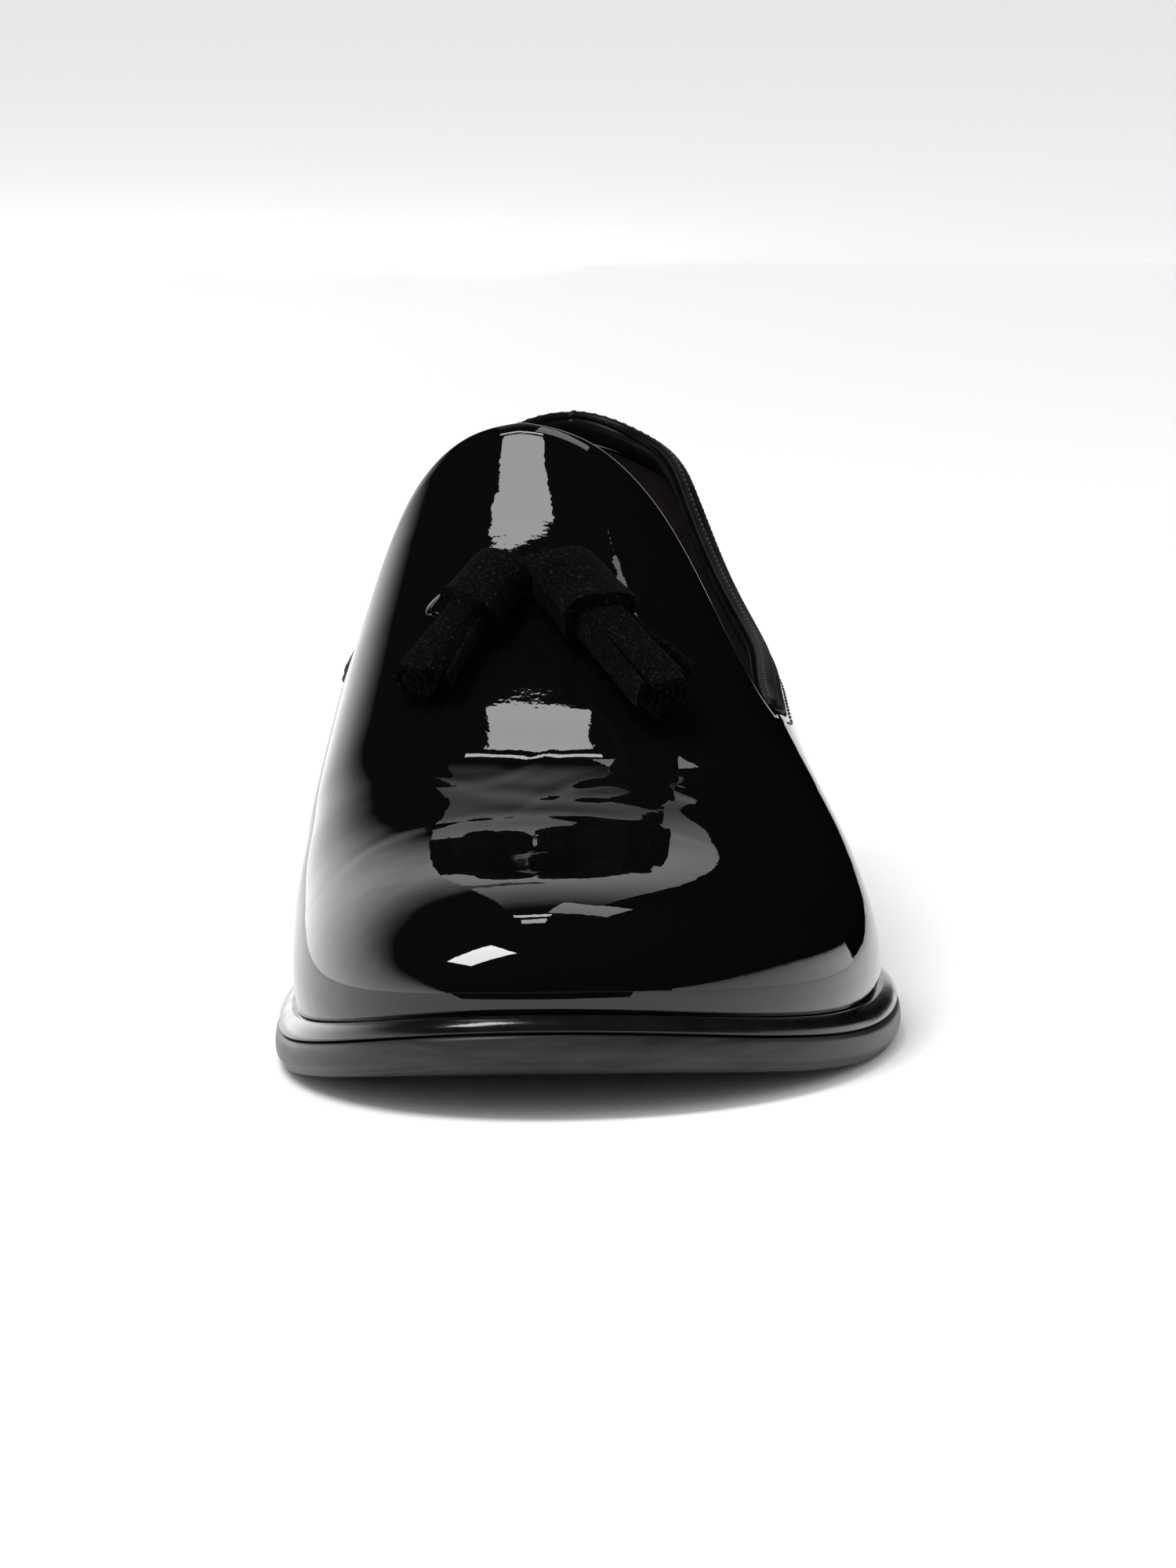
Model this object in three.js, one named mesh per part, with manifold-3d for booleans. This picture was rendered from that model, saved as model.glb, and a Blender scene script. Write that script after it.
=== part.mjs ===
// Tassel loafer, left shoe, in millimetres: +Z up, toe towards -Y, outer side of the foot towards +X.
// Shoe coordinates: x across from the middle of the last, d back from the toe tip, z up from the floor.
import * as THREE from 'three';
import { mergeVertices } from 'three/addons/utils/BufferGeometryUtils.js';
import Module from 'manifold-3d';

// Driving dimensions
const LAST_LENGTH = 298;
const BALL_WIDTH = 99;
const RIDGE_RISE = 100;        // the upper's ridge over the feather line, at the back
const BACK_HEIGHT = 60;        // collar over the feather line, at the back of the heel
const HEEL_HEIGHT = 16;
const TOE_SPRING = 9.0;
const OUTSOLE_THICK = 5.7;
const WELT_THICK = 3.1;
const TOP_PIECE_THICK = 4.2;   // the heel's lowest lift
const UPPER_WALL = 1.9;
const INSOLE_THICK = 1.9;      // the footbed above the welt
const CLEARANCE = 0.3;         // between pieces that touch

// Edges of the sole, out from the feather line
const WELT_OUT = 3.1;
const WELT_WAIST_OUT = 2.2;
const OUTSOLE_LIP = 0.6;       // outsole beyond the welt
const WELT_IN = 5.2;           // welt's inner edge, inside the feather line
const HEEL_INSET = 1.2;        // heel inside the outsole's edge
const HEEL_TAPER = 1.8;        // further in at the heel's foot

// Collar binding
const BINDING_HEIGHT = 6;
const BINDING_THICK = 4.4;
const BINDING_TIP_HEIGHT = 2;
const BINDING_TIP_THICK = 2.2;
const BINDING_LIP = 0.5;       // out over the upper's face
const BINDING_FADE = 0.03;     // share of the girth over which the tip swells to full size

// Tassels
const TASSEL_LENGTH = 37;
const CAP_LENGTH = 15;
const TASSEL_WIDTH = 9;
const TIE_LENGTH = 7;
const TIE_WIDTH = 9;
const TIE_THICK = 3.4;

// Mesh density
const QUARTER_COLUMNS = 29;
const VAMP_COLUMNS = 22;
const BAND_ROWS = 8;
const PATCH_ROWS = 9;
const SOLE_COLUMNS = 44;
const BINDING_SECTIONS = 80;

// Spreads a table with named columns into one list for each column
function columns(table) {
  const [names, ...rows] = table;
  return Object.fromEntries(names.map((name, i) => [name, rows.map((row) => row[i])]));
}

// Natural cubic spline through the points (xs, ys), held constant outside them
function spline(xs, ys) {
  const n = xs.length;
  const slope = new Array(n).fill(0);
  const curve = new Array(n).fill(0);
  for (let i = 1; i < n - 1; i += 1) {
    const left = xs[i] - xs[i - 1];
    const right = xs[i + 1] - xs[i];
    const pivot = 2 * (left + right) - left * slope[i - 1];
    slope[i] = right / pivot;
    const bend = 6 * ((ys[i + 1] - ys[i]) / right - (ys[i] - ys[i - 1]) / left);
    curve[i] = (bend - left * curve[i - 1]) / pivot;
  }
  for (let i = n - 2; i > 0; i -= 1) curve[i] -= slope[i] * curve[i + 1];
  return (value) => {
    const x = THREE.MathUtils.clamp(value, xs[0], xs[n - 1]);
    let k = 0;
    while (k < n - 2 && x > xs[k + 1]) k += 1;
    const h = xs[k + 1] - xs[k];
    const a = xs[k + 1] - x;
    const b = x - xs[k];
    return (curve[k] * a ** 3 + curve[k + 1] * b ** 3) / (6 * h)
      + (ys[k] / h - (curve[k] * h) / 6) * a
      + (ys[k + 1] / h - (curve[k + 1] * h) / 6) * b;
  };
}

// Closed uniform cubic B-spline over the rows, s from 0 to 1 around the loop
function loopSpline(rows, s) {
  const n = rows.length;
  const u = (((s % 1) + 1) % 1) * n;
  const i = Math.floor(u);
  const t = u - i;
  const weights = [(1 - t) ** 3, 3 * t ** 3 - 6 * t * t + 4, -3 * t ** 3 + 3 * t * t + 3 * t + 1, t ** 3];
  return rows[0].map((_, c) => weights.reduce((sum, w, k) => sum + w * rows[(i + k + n - 1) % n][c], 0) / 6);
}

const smooth = (value) => {
  const t = THREE.MathUtils.clamp(value, 0, 1);
  return t * t * (3 - 2 * t);
};

// Feather line where upper meets sole: shares of LAST_LENGTH (along) and BALL_WIDTH (side), toe to heel.
// ridge is where the wall that starts there ends, along the upper's ridge.
const FEATHER = columns([
  ['ridge', 'medialAlong', 'medialSide', 'lateralAlong', 'lateralSide'],
  [0.121, 0.003, -0.081, 0.003, -0.081],
  [0.128, 0.034, -0.313, 0.030, 0.192],
  [0.158, 0.128, -0.449, 0.114, 0.409],
  [0.242, 0.235, -0.473, 0.221, 0.517],
  [0.349, 0.349, -0.457, 0.339, 0.542],
  [0.470, 0.470, -0.396, 0.460, 0.472],
  [0.591, 0.591, -0.340, 0.581, 0.432],
  [0.711, 0.711, -0.323, 0.701, 0.371],
  [0.826, 0.832, -0.325, 0.826, 0.343],
  [0.879, 0.953, -0.262, 0.950, 0.268],
  [0.893, 0.995, 0.018, 0.995, 0.018],
]);

// The loop runs from the heel along the medial side to the toe and back along the lateral side
const featherRow = (side, k) => [
  FEATHER[`${side}Along`][k] * LAST_LENGTH,
  FEATHER[`${side}Side`][k] * BALL_WIDTH,
  FEATHER.ridge[k] * LAST_LENGTH,
];
const toHeel = FEATHER.ridge.map((_, k) => k);
const FEATHER_LOOP = [
  ...toHeel.slice().reverse().map((k) => featherRow('medial', k)),
  ...toHeel.slice(1, -1).map((k) => featherRow('lateral', k)),
];

// Wall profile at ten even places round the loop from the heel: inner points of a curve of five spans,
// in shares of the way to the ridge and of the rise to it
const WALL_LOOP = [
  [-0.10, 0.15, -0.14, 0.50, -0.02, 0.92, 0.50], // heel back
  [-0.08, 0.15, -0.04, 0.36, 0.76, 0.58, 0.82], // heel, medial
  [-0.06, 0.16, -0.14, 0.48, -0.03, 1.00, 0.06], // waist, medial
  [-0.01, 0.22, -0.04, 0.63, -0.02, 0.98, 0.34], // ball, medial
  [-0.05, 0.22, -0.03, 0.62, 0.16, 0.99, 0.56], // toe corner, medial
  [-0.06, 0.22, -0.03, 0.62, 0.20, 0.99, 0.62], // toe
  [-0.05, 0.22, -0.02, 0.60, 0.18, 0.98, 0.62], // toe corner, lateral
  [-0.03, 0.14, 0.01, 0.54, 0.29, 0.95, 0.56], // ball, lateral
  [-0.06, 0.15, 0.02, 0.40, 0.44, 0.86, 0.28], // waist, lateral
  [-0.08, 0.15, -0.04, 0.36, 0.88, 0.58, 0.90], // heel, lateral
];

// Ridge of the upper: rise in shares of RIDGE_RISE, side in shares of BALL_WIDTH
const RIDGE = columns([
  ['along', 'rise', 'side'],
  [0.000, 0.158, -0.045],
  [0.050, 0.201, -0.045],
  [0.101, 0.238, -0.045],
  [0.151, 0.270, -0.045],
  [0.201, 0.303, -0.045],
  [0.252, 0.346, -0.046],
  [0.302, 0.406, -0.048],
  [0.369, 0.506, -0.053],
  [0.446, 0.612, -0.066],
  [0.520, 0.689, -0.080],
  [0.587, 0.752, -0.076],
  [0.671, 0.834, -0.060],
  [0.772, 0.926, -0.037],
  [0.879, 0.976, -0.015],
  [1.000, 0.996, 0.018],
]);
const ridgeRise = spline(RIDGE.along, RIDGE.rise);
const ridgeSide = spline(RIDGE.along, RIDGE.side);

// Top of the collar over the feather line, in shares of BACK_HEIGHT
const COLLAR = columns([
  ['along', 'medial', 'lateral'],
  [0.383, 0.720, 0.685],
  [0.411, 0.747, 0.700],
  [0.440, 0.768, 0.692],
  [0.500, 0.760, 0.670],
  [0.570, 0.693, 0.610],
  [0.638, 0.620, 0.565],
  [0.688, 0.608, 0.580],
  [0.732, 0.635, 0.624],
  [0.772, 0.680, 0.677],
  [0.822, 0.757, 0.755],
  [0.879, 0.852, 0.852],
  [0.923, 0.908, 0.908],
  [0.956, 0.952, 0.962],
  [0.968, 0.996, 0.998],
]);
const collarRise = {
  medial: spline(COLLAR.along, COLLAR.medial),
  lateral: spline(COLLAR.along, COLLAR.lateral),
};

// Where the V of the throat and the tongue's tip lie round the loop, and how the tongue's edge sweeps
const NOTCH = { medial: 0.266, lateral: 0.729 };
const TONGUE_TIP = { medial: 0.2015, lateral: 0.7985 };
const TONGUE_SWEEP = columns([
  ['up', 'back'],
  [0.0, 0.00],
  [0.1, 0.06],
  [0.2, 0.26],
  [0.3, 0.50],
  [0.4, 0.67],
  [0.6, 0.85],
  [0.8, 0.95],
  [1.0, 1.00],
]);
const tongueSweep = spline(TONGUE_SWEEP.up, TONGUE_SWEEP.back);
const TOE_BAND_TOP = 0.5;      // share of the wall where the lower band ends at the toe

// The sole's underside: toe spring to the ball, flat at the ball, then up to the heel seat
const FLAT_FRONT = 0.248;
const FLAT_BACK = 0.356;
const SEAT = 0.745;
function soleHeight(d) {
  const along = d / LAST_LENGTH;
  const toe = THREE.MathUtils.clamp((FLAT_FRONT - along) / FLAT_FRONT, 0, 1);
  const rise = THREE.MathUtils.clamp((along - FLAT_BACK) / (SEAT - FLAT_BACK), 0, 1);
  return TOE_SPRING * toe ** 2 + HEEL_HEIGHT * rise ** 3 * (10 - 15 * rise + 6 * rise * rise);
}

// Levels over the sole's underside
const WELT_FOOT = OUTSOLE_THICK + CLEARANCE;
const WELT_TOP = WELT_FOOT + WELT_THICK;
const FEATHER_LEVEL = WELT_TOP + CLEARANCE;

// A point of the last's surface: s round the loop, v from the feather line to the ridge
function surface(s, v) {
  const [d0, x0, ridgeAt] = loopSpline(FEATHER_LOOP, s);
  const wall = loopSpline(WALL_LOOP, s);
  const w = 1 - v;
  const mix = [5 * v * w ** 4, 10 * v * v * w ** 3, 10 * v ** 3 * w * w, 5 * v ** 4 * w, v ** 5];
  const inward = mix[0] * wall[0] + mix[1] * wall[2] + mix[2] * wall[4] + mix[3] * wall[6] + mix[4];
  const upward = mix[0] * wall[1] + mix[1] * wall[3] + mix[2] * wall[5] + mix[3] + mix[4];
  const d = d0 + (ridgeAt - d0) * inward;
  const x = x0 + (ridgeSide(ridgeAt / LAST_LENGTH) * BALL_WIDTH - x0) * inward;
  const z = soleHeight(d) + FEATHER_LEVEL + RIDGE_RISE * ridgeRise(d / LAST_LENGTH) * upward;
  return new THREE.Vector3(x, d, z);
}

// Outward normal of the last's surface
const STEP = 1e-3;
function outward(s, v) {
  const at = THREE.MathUtils.clamp(v, STEP, 0.975);
  const around = surface(s + STEP, at).sub(surface(s - STEP, at));
  const up = surface(s, at + STEP).sub(surface(s, at - STEP));
  return around.cross(up).normalize();
}

// Largest share v of the wall for which a test holds, between two limits, found by halving
function lastShare(low, high, holds) {
  let [under, over] = [low, high];
  for (let i = 0; i < 40; i += 1) {
    const middle = (under + over) / 2;
    if (holds(middle)) under = middle;
    else over = middle;
  }
  return (under + over) / 2;
}

// Share v where the wall at s reaches the collar's top
function collarShare(s) {
  const side = s < 0.5 ? 'medial' : 'lateral';
  return lastShare(0.05, 0.95, (v) => {
    const point = surface(s, v);
    const rise = BACK_HEIGHT * collarRise[side](point.y / LAST_LENGTH);
    return point.z < soleHeight(point.y) + FEATHER_LEVEL + rise;
  });
}

// Share v of the wall at s a way down from the collar's top
function belowCollar(s, drop) {
  const share = collarShare(s);
  const top = surface(s, share);
  return lastShare(0, share, (v) => surface(s, v).distanceTo(top) > drop);
}

// How far along its swelling the binding is at s: 0 at the V, 1 away from it
function bindingSwell(s) {
  const away = s < 0.5 ? NOTCH.medial - s : s - NOTCH.lateral;
  return smooth(away / BINDING_FADE);
}
const bindingHeight = (s) => THREE.MathUtils.lerp(BINDING_TIP_HEIGHT, BINDING_HEIGHT, bindingSwell(s));
const bindingThick = (s) => THREE.MathUtils.lerp(BINDING_TIP_THICK, BINDING_THICK, bindingSwell(s));
const quarterTop = (s) => belowCollar(s, bindingHeight(s) + CLEARANCE);

// Collects vertices and triangles of one closed body
class Body {
  constructor() {
    this.points = [];
    this.triangles = [];
  }

  add(point) {
    this.points.push(point);
    return this.points.length - 1;
  }

  triangle(a, b, c) {
    if (a !== b && b !== c && c !== a) this.triangles.push(a, b, c);
  }

  quad(a, b, c, d) {
    this.triangle(a, b, c);
    this.triangle(a, c, d);
  }

  // Joins two rows of vertices by a strip, closed to a loop if asked
  strip(low, high, closed = false) {
    const count = closed ? low.length : low.length - 1;
    for (let i = 0; i < count; i += 1) {
      const next = (i + 1) % low.length;
      this.quad(low[i], low[next], high[next], high[i]);
    }
  }

  geometry() {
    const shape = new THREE.BufferGeometry();
    const flat = new Float32Array(this.points.flatMap((p) => [p.x, p.y, p.z]));
    shape.setAttribute('position', new THREE.BufferAttribute(flat, 3));
    shape.setIndex(this.triangles);
    return outwardFacing(shape);
  }
}

// Signed volume of a closed mesh, from its faces
function signedVolume(shape) {
  const at = shape.attributes.position;
  const corner = [new THREE.Vector3(), new THREE.Vector3(), new THREE.Vector3()];
  let sum = 0;
  for (let i = 0; i < shape.index.count; i += 3) {
    corner.forEach((p, k) => p.fromBufferAttribute(at, shape.index.getX(i + k)));
    sum += corner[0].dot(corner[1].cross(corner[2])) / 6;
  }
  return sum;
}

// Turns every face of a closed mesh over if its faces point in
function outwardFacing(shape) {
  if (signedVolume(shape) > 0) return shape;
  const index = Array.from(shape.index.array);
  for (let i = 0; i < index.length; i += 3) [index[i], index[i + 1]] = [index[i + 1], index[i]];
  shape.setIndex(index);
  return shape;
}

// Columns of the upper's grid, round the loop from the heel
function upperColumns() {
  const list = [];
  const turn = { medial: TONGUE_TIP.medial - NOTCH.medial, lateral: TONGUE_TIP.lateral - NOTCH.lateral };
  const reach = { medial: 0.5 - NOTCH.medial, lateral: NOTCH.lateral - 0.5 };
  for (let i = 0; i < QUARTER_COLUMNS; i += 1) {
    list.push({ s: (NOTCH.medial * i) / QUARTER_COLUMNS, turn: null });
  }
  const vamp = (side, u) => {
    const medialTurn = u ** 4;
    const ridge = reach.medial * u - turn.medial * medialTurn;
    const share = side === 'medial' ? medialTurn : (ridge - reach.lateral * u) / turn.lateral;
    const s = side === 'medial' ? 0.5 - reach.medial * u : 0.5 + reach.lateral * u;
    return { s, turn: turn[side] * share, u, side };
  };
  for (let i = VAMP_COLUMNS; i >= 0; i -= 1) list.push(vamp('medial', i / VAMP_COLUMNS));
  for (let i = 1; i <= VAMP_COLUMNS; i += 1) list.push(vamp('lateral', i / VAMP_COLUMNS));
  for (let i = 1; i < QUARTER_COLUMNS; i += 1) {
    list.push({ s: NOTCH.lateral + ((1 - NOTCH.lateral) * i) / QUARTER_COLUMNS, turn: null });
  }
  return list;
}

// Top of the lower band at a column of the grid
function bandTop(column) {
  if (column.turn === null) return quarterTop(column.s);
  return THREE.MathUtils.lerp(TOE_BAND_TOP, quarterTop(NOTCH[column.side]), smooth(column.u));
}

// A point of the upper's skin, a depth in from its face; the foot of the wall stays level
function skin(s, v, depth) {
  const normal = outward(s, v);
  normal.z *= smooth(v / 0.1);
  return surface(s, v).addScaledVector(normal.normalize(), -depth);
}

// One skin of the upper: grid rows of the band, the vamp's patch and the rim of the opening
function upperSkin(body, depth) {
  const list = upperColumns();
  const tops = list.map(bandTop);
  const rows = [];
  for (let j = 0; j <= BAND_ROWS; j += 1) {
    rows.push(list.map((column, i) => body.add(skin(column.s, (tops[i] * j) / BAND_ROWS, depth))));
  }
  for (let j = 0; j < BAND_ROWS; j += 1) body.strip(rows[j], rows[j + 1], true);

  const toe = QUARTER_COLUMNS + VAMP_COLUMNS;
  const patch = new Map();
  for (let i = QUARTER_COLUMNS; i <= toe + VAMP_COLUMNS; i += 1) {
    const column = list[i];
    const line = [rows[BAND_ROWS][i]];
    const mirrored = 2 * toe - i;
    for (let j = 1; j <= PATCH_ROWS; j += 1) {
      const up = j / PATCH_ROWS;
      const v = THREE.MathUtils.lerp(tops[i], 1, up);
      const s = column.s + column.turn * tongueSweep(up);
      if (j === PATCH_ROWS && patch.has(mirrored)) line.push(patch.get(mirrored)[PATCH_ROWS]);
      else line.push(body.add(j === PATCH_ROWS ? ridgePoint(s, depth) : skin(s, v, depth)));
    }
    patch.set(i, line);
  }
  for (let i = QUARTER_COLUMNS; i < toe + VAMP_COLUMNS; i += 1) {
    for (let j = 0; j < PATCH_ROWS; j += 1) {
      body.quad(patch.get(i)[j], patch.get(i + 1)[j], patch.get(i + 1)[j + 1], patch.get(i)[j + 1]);
    }
  }
  const medialEdge = patch.get(QUARTER_COLUMNS);
  const lateralEdge = patch.get(toe + VAMP_COLUMNS);
  const quarters = [...rows[BAND_ROWS].slice(toe + VAMP_COLUMNS + 1), ...rows[BAND_ROWS].slice(0, QUARTER_COLUMNS)];
  const rim = [...quarters, ...medialEdge, ...lateralEdge.slice(0, -1).reverse()];
  return { foot: rows[0], rim };
}

// A point on the ridge, where the two sides' normals are averaged
function ridgePoint(s, depth) {
  const normal = outward(s, 1).add(outward(1 - s, 1)).normalize();
  return surface(s, 1).addScaledVector(normal, -depth);
}

function upperGeometry() {
  const body = new Body();
  const outer = upperSkin(body, 0);
  const firstInner = body.triangles.length;
  const inner = upperSkin(body, UPPER_WALL);
  for (let i = firstInner; i < body.triangles.length; i += 3) {
    const swapped = body.triangles[i];
    body.triangles[i] = body.triangles[i + 1];
    body.triangles[i + 1] = swapped;
  }
  body.strip(inner.foot, outer.foot, true);
  body.strip(outer.rim, inner.rim, true);
  return body.geometry();
}

// Closed body swept along a list of sections, each a ring of points; loops or ends in flat caps
function sweep(sections, looped) {
  const body = new Body();
  const rings = sections.map((ring) => ring.map((point) => body.add(point)));
  for (let i = 0; i + 1 < rings.length; i += 1) body.strip(rings[i], rings[i + 1], true);
  if (looped) {
    body.strip(rings[rings.length - 1], rings[0], true);
    return body.geometry();
  }
  [[rings[0], sections[0], false], [rings[rings.length - 1], sections[sections.length - 1], true]]
    .forEach(([ring, points, last]) => {
      const middle = points.reduce((sum, p) => sum.add(p), new THREE.Vector3()).divideScalar(points.length);
      const hub = body.add(middle);
      ring.forEach((vertex, k) => {
        const next = ring[(k + 1) % ring.length];
        if (last) body.triangle(vertex, next, hub);
        else body.triangle(next, vertex, hub);
      });
    });
  return body.geometry();
}

// Soft roll along the collar: a rounded section that hangs from the collar's top line
const BINDING_START = 0.008;   // the roll starts this far behind the V
const BINDING_SIDES = 12;
const BINDING_SQUARENESS = 0.75;
function bindingSection(s) {
  const v = collarShare(s);
  const top = surface(s, v);
  const out = outward(s, v);
  out.z = 0;
  out.normalize();
  const down = surface(s, v - 0.02).sub(top).normalize();
  const height = bindingHeight(s);
  const thick = bindingThick(s);
  const ring = [];
  for (let k = 0; k < BINDING_SIDES; k += 1) {
    const angle = (2 * Math.PI * k) / BINDING_SIDES;
    const round = (value) => Math.sign(value) * Math.abs(value) ** BINDING_SQUARENESS;
    const across = BINDING_LIP - (thick / 2) * (1 - round(Math.cos(angle)));
    const below = (height / 2) * (1 - round(Math.sin(angle)));
    ring.push(top.clone().addScaledVector(out, across).addScaledVector(down, below));
  }
  return ring;
}

function bindingGeometry() {
  const first = NOTCH.lateral + BINDING_START;
  const last = 1 + NOTCH.medial - BINDING_START;
  const sections = [];
  for (let i = 0; i <= BINDING_SECTIONS; i += 1) {
    const s = first + ((last - first) * i) / BINDING_SECTIONS;
    sections.push(bindingSection(s % 1));
  }
  return sweep(sections, false);
}

// How far the welt stands out at a place along the shoe: widest at the forepart
function weltOut(d) {
  const along = d / LAST_LENGTH;
  return THREE.MathUtils.lerp(WELT_WAIST_OUT, WELT_OUT, smooth((0.56 - along) / 0.2));
}

// A point beside the feather line: out from it, and a height over the sole's underside
function besideFeather(s, out, height) {
  const [d, x] = loopSpline(FEATHER_LOOP, s);
  const [d1, x1] = loopSpline(FEATHER_LOOP, s + STEP);
  const [d0, x0] = loopSpline(FEATHER_LOOP, s - STEP);
  const along = Math.hypot(d1 - d0, x1 - x0);
  const away = typeof out === 'function' ? out(d) : out;
  const depth = d - ((x1 - x0) / along) * away;
  return new THREE.Vector3(x + ((d1 - d0) / along) * away, depth, soleHeight(depth) + height);
}

// Closed layer of the sole between two places along it, from a list of edges with out and height,
// bottom first: the two sides are paired across the shoe, so the layer follows the sole's bend
function layer(edges, from, to, count) {
  const body = new Body();
  const levels = edges.map(({ out, height }) => {
    const medial = [];
    const lateral = [];
    for (let k = 0; k <= count; k += 1) {
      const u = from + ((to - from) * k) / count;
      const first = body.add(besideFeather(0.5 - u / 2, out, height));
      const joined = u === 0 || u === 1;
      medial.push(first);
      lateral.push(joined ? first : body.add(besideFeather(0.5 + u / 2, out, height)));
    }
    return { medial, lateral };
  });
  const bottom = levels[0];
  const top = levels[levels.length - 1];
  body.strip(bottom.lateral, bottom.medial);
  body.strip(top.medial, top.lateral);
  for (let i = 0; i + 1 < levels.length; i += 1) {
    body.strip(levels[i].medial, levels[i + 1].medial);
    body.strip(levels[i + 1].lateral, levels[i].lateral);
  }
  const face = levels.map((level) => [level.medial[0], level.lateral[0]]);
  for (let i = 0; i + 1 < face.length; i += 1) {
    body.quad(face[i][1], face[i][0], face[i + 1][0], face[i + 1][1]);
  }
  return body.geometry();
}

// Outsole edge in shares of its thickness, bottom to top: drawn in below, fullest low down,
// and in again under the welt
const outsoleOut = (inset) => (d) => weltOut(d) + OUTSOLE_LIP - inset;
const OUTSOLE_EDGE = columns([
  ['inset', 'level'],
  [0.46, 0.00],
  [0.18, 0.13],
  [0.00, 0.48],
  [0.02, 0.80],
  [0.16, 1.00],
]);
function outsoleGeometry() {
  const edges = OUTSOLE_EDGE.level.map((level, i) => (
    { out: outsoleOut(OUTSOLE_EDGE.inset[i] * OUTSOLE_THICK), height: level * OUTSOLE_THICK }));
  return layer(edges, 0, 1, SOLE_COLUMNS);
}

// Heel: a stack under the seat, from its breast to the back, and the top piece it walks on
const HEEL_BREAST = 0.775;     // share of the way from toe to heel round the loop
const HEEL_COLUMNS = 14;
const heelOut = (share) => (d) => weltOut(d) + OUTSOLE_LIP - HEEL_INSET - HEEL_TAPER * share;
function heelLayer(low, high) {
  const edge = (height) => ({ out: heelOut(1 - height / HEEL_HEIGHT), height: height - HEEL_HEIGHT });
  return layer([edge(low), edge(high)], HEEL_BREAST, 1, HEEL_COLUMNS);
}

// Welt: a flat strip on the outsole with a bevelled edge that falls outwards, in shares of its thickness
const WELT_EDGE = columns([
  ['inset', 'level'],
  [0.06, 0.00],
  [0.00, 0.15],
  [0.16, 0.50],
  [0.74, 1.00],
]);
function weltGeometry() {
  const sections = [];
  for (let i = 0; i < 2 * SOLE_COLUMNS; i += 1) {
    const s = 0.5 + i / (2 * SOLE_COLUMNS);
    const outer = WELT_EDGE.level.map((level, k) => (
      besideFeather(s, (d) => weltOut(d) - WELT_EDGE.inset[k] * WELT_THICK, WELT_FOOT + level * WELT_THICK)));
    sections.push([besideFeather(s, -WELT_IN, WELT_FOOT), ...outer, besideFeather(s, -WELT_IN, WELT_TOP)]);
  }
  return sweep(sections, true);
}

// Insole: fills the welt's middle and widens above it to the upper's wall
function insoleGeometry() {
  const narrow = -WELT_IN - CLEARANCE;
  const wide = -UPPER_WALL - 2 * CLEARANCE;
  const edges = [
    { out: narrow, height: WELT_FOOT },
    { out: narrow, height: FEATHER_LEVEL },
    { out: wide, height: FEATHER_LEVEL },
    { out: wide - 0.1 * INSOLE_THICK, height: FEATHER_LEVEL + INSOLE_THICK },
  ];
  return layer(edges, 0, 1, SOLE_COLUMNS);
}

const wasm = await Module();
wasm.setup();

// Turns a closed geometry into a solid that can be joined
function solid(shape) {
  const plain = shape.clone();
  plain.deleteAttribute('normal');
  plain.deleteAttribute('uv');
  const merged = mergeVertices(plain, 1e-4);
  const mesh = new wasm.Mesh({
    numProp: 3,
    vertProperties: new Float32Array(merged.attributes.position.array),
    triVerts: new Uint32Array(merged.index.array),
  });
  return new wasm.Manifold(mesh);
}

function fromSolid(body) {
  const mesh = body.getMesh();
  const shape = new THREE.BufferGeometry();
  shape.setAttribute('position', new THREE.BufferAttribute(new Float32Array(mesh.vertProperties), 3));
  shape.setIndex(Array.from(mesh.triVerts));
  return shape;
}

// Closed loft along X: each section has its place, middle, half width, half thickness and turn
function loft(sections, sides, squareness) {
  return sweep(sections.map(({ x, y, z, wide, thick, turn = 0 }) => {
    const ring = [];
    for (let k = 0; k < sides; k += 1) {
      const angle = (2 * Math.PI * (k + 0.5)) / sides;
      const round = (value) => Math.sign(value) * Math.abs(value) ** squareness;
      const across = wide * round(Math.cos(angle));
      const over = thick * round(Math.sin(angle));
      ring.push(new THREE.Vector3(
        x,
        y + across * Math.cos(turn) - over * Math.sin(turn),
        z + across * Math.sin(turn) + over * Math.cos(turn),
      ));
    }
    return ring;
  }), false);
}

// The strips of a tassel: angle round the bundle, length and spread in shares
const STRIPS = columns([
  ['angle', 'length', 'spread'],
  [-80, 0.97, 0.10],
  [-35, 1.00, 0.22],
  [10, 0.96, 0.12],
  [55, 1.00, 0.06],
  [100, 0.98, 0.10],
  [145, 0.97, 0.16],
  [190, 0.99, 0.10],
  [235, 0.96, 0.14],
]);

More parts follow.
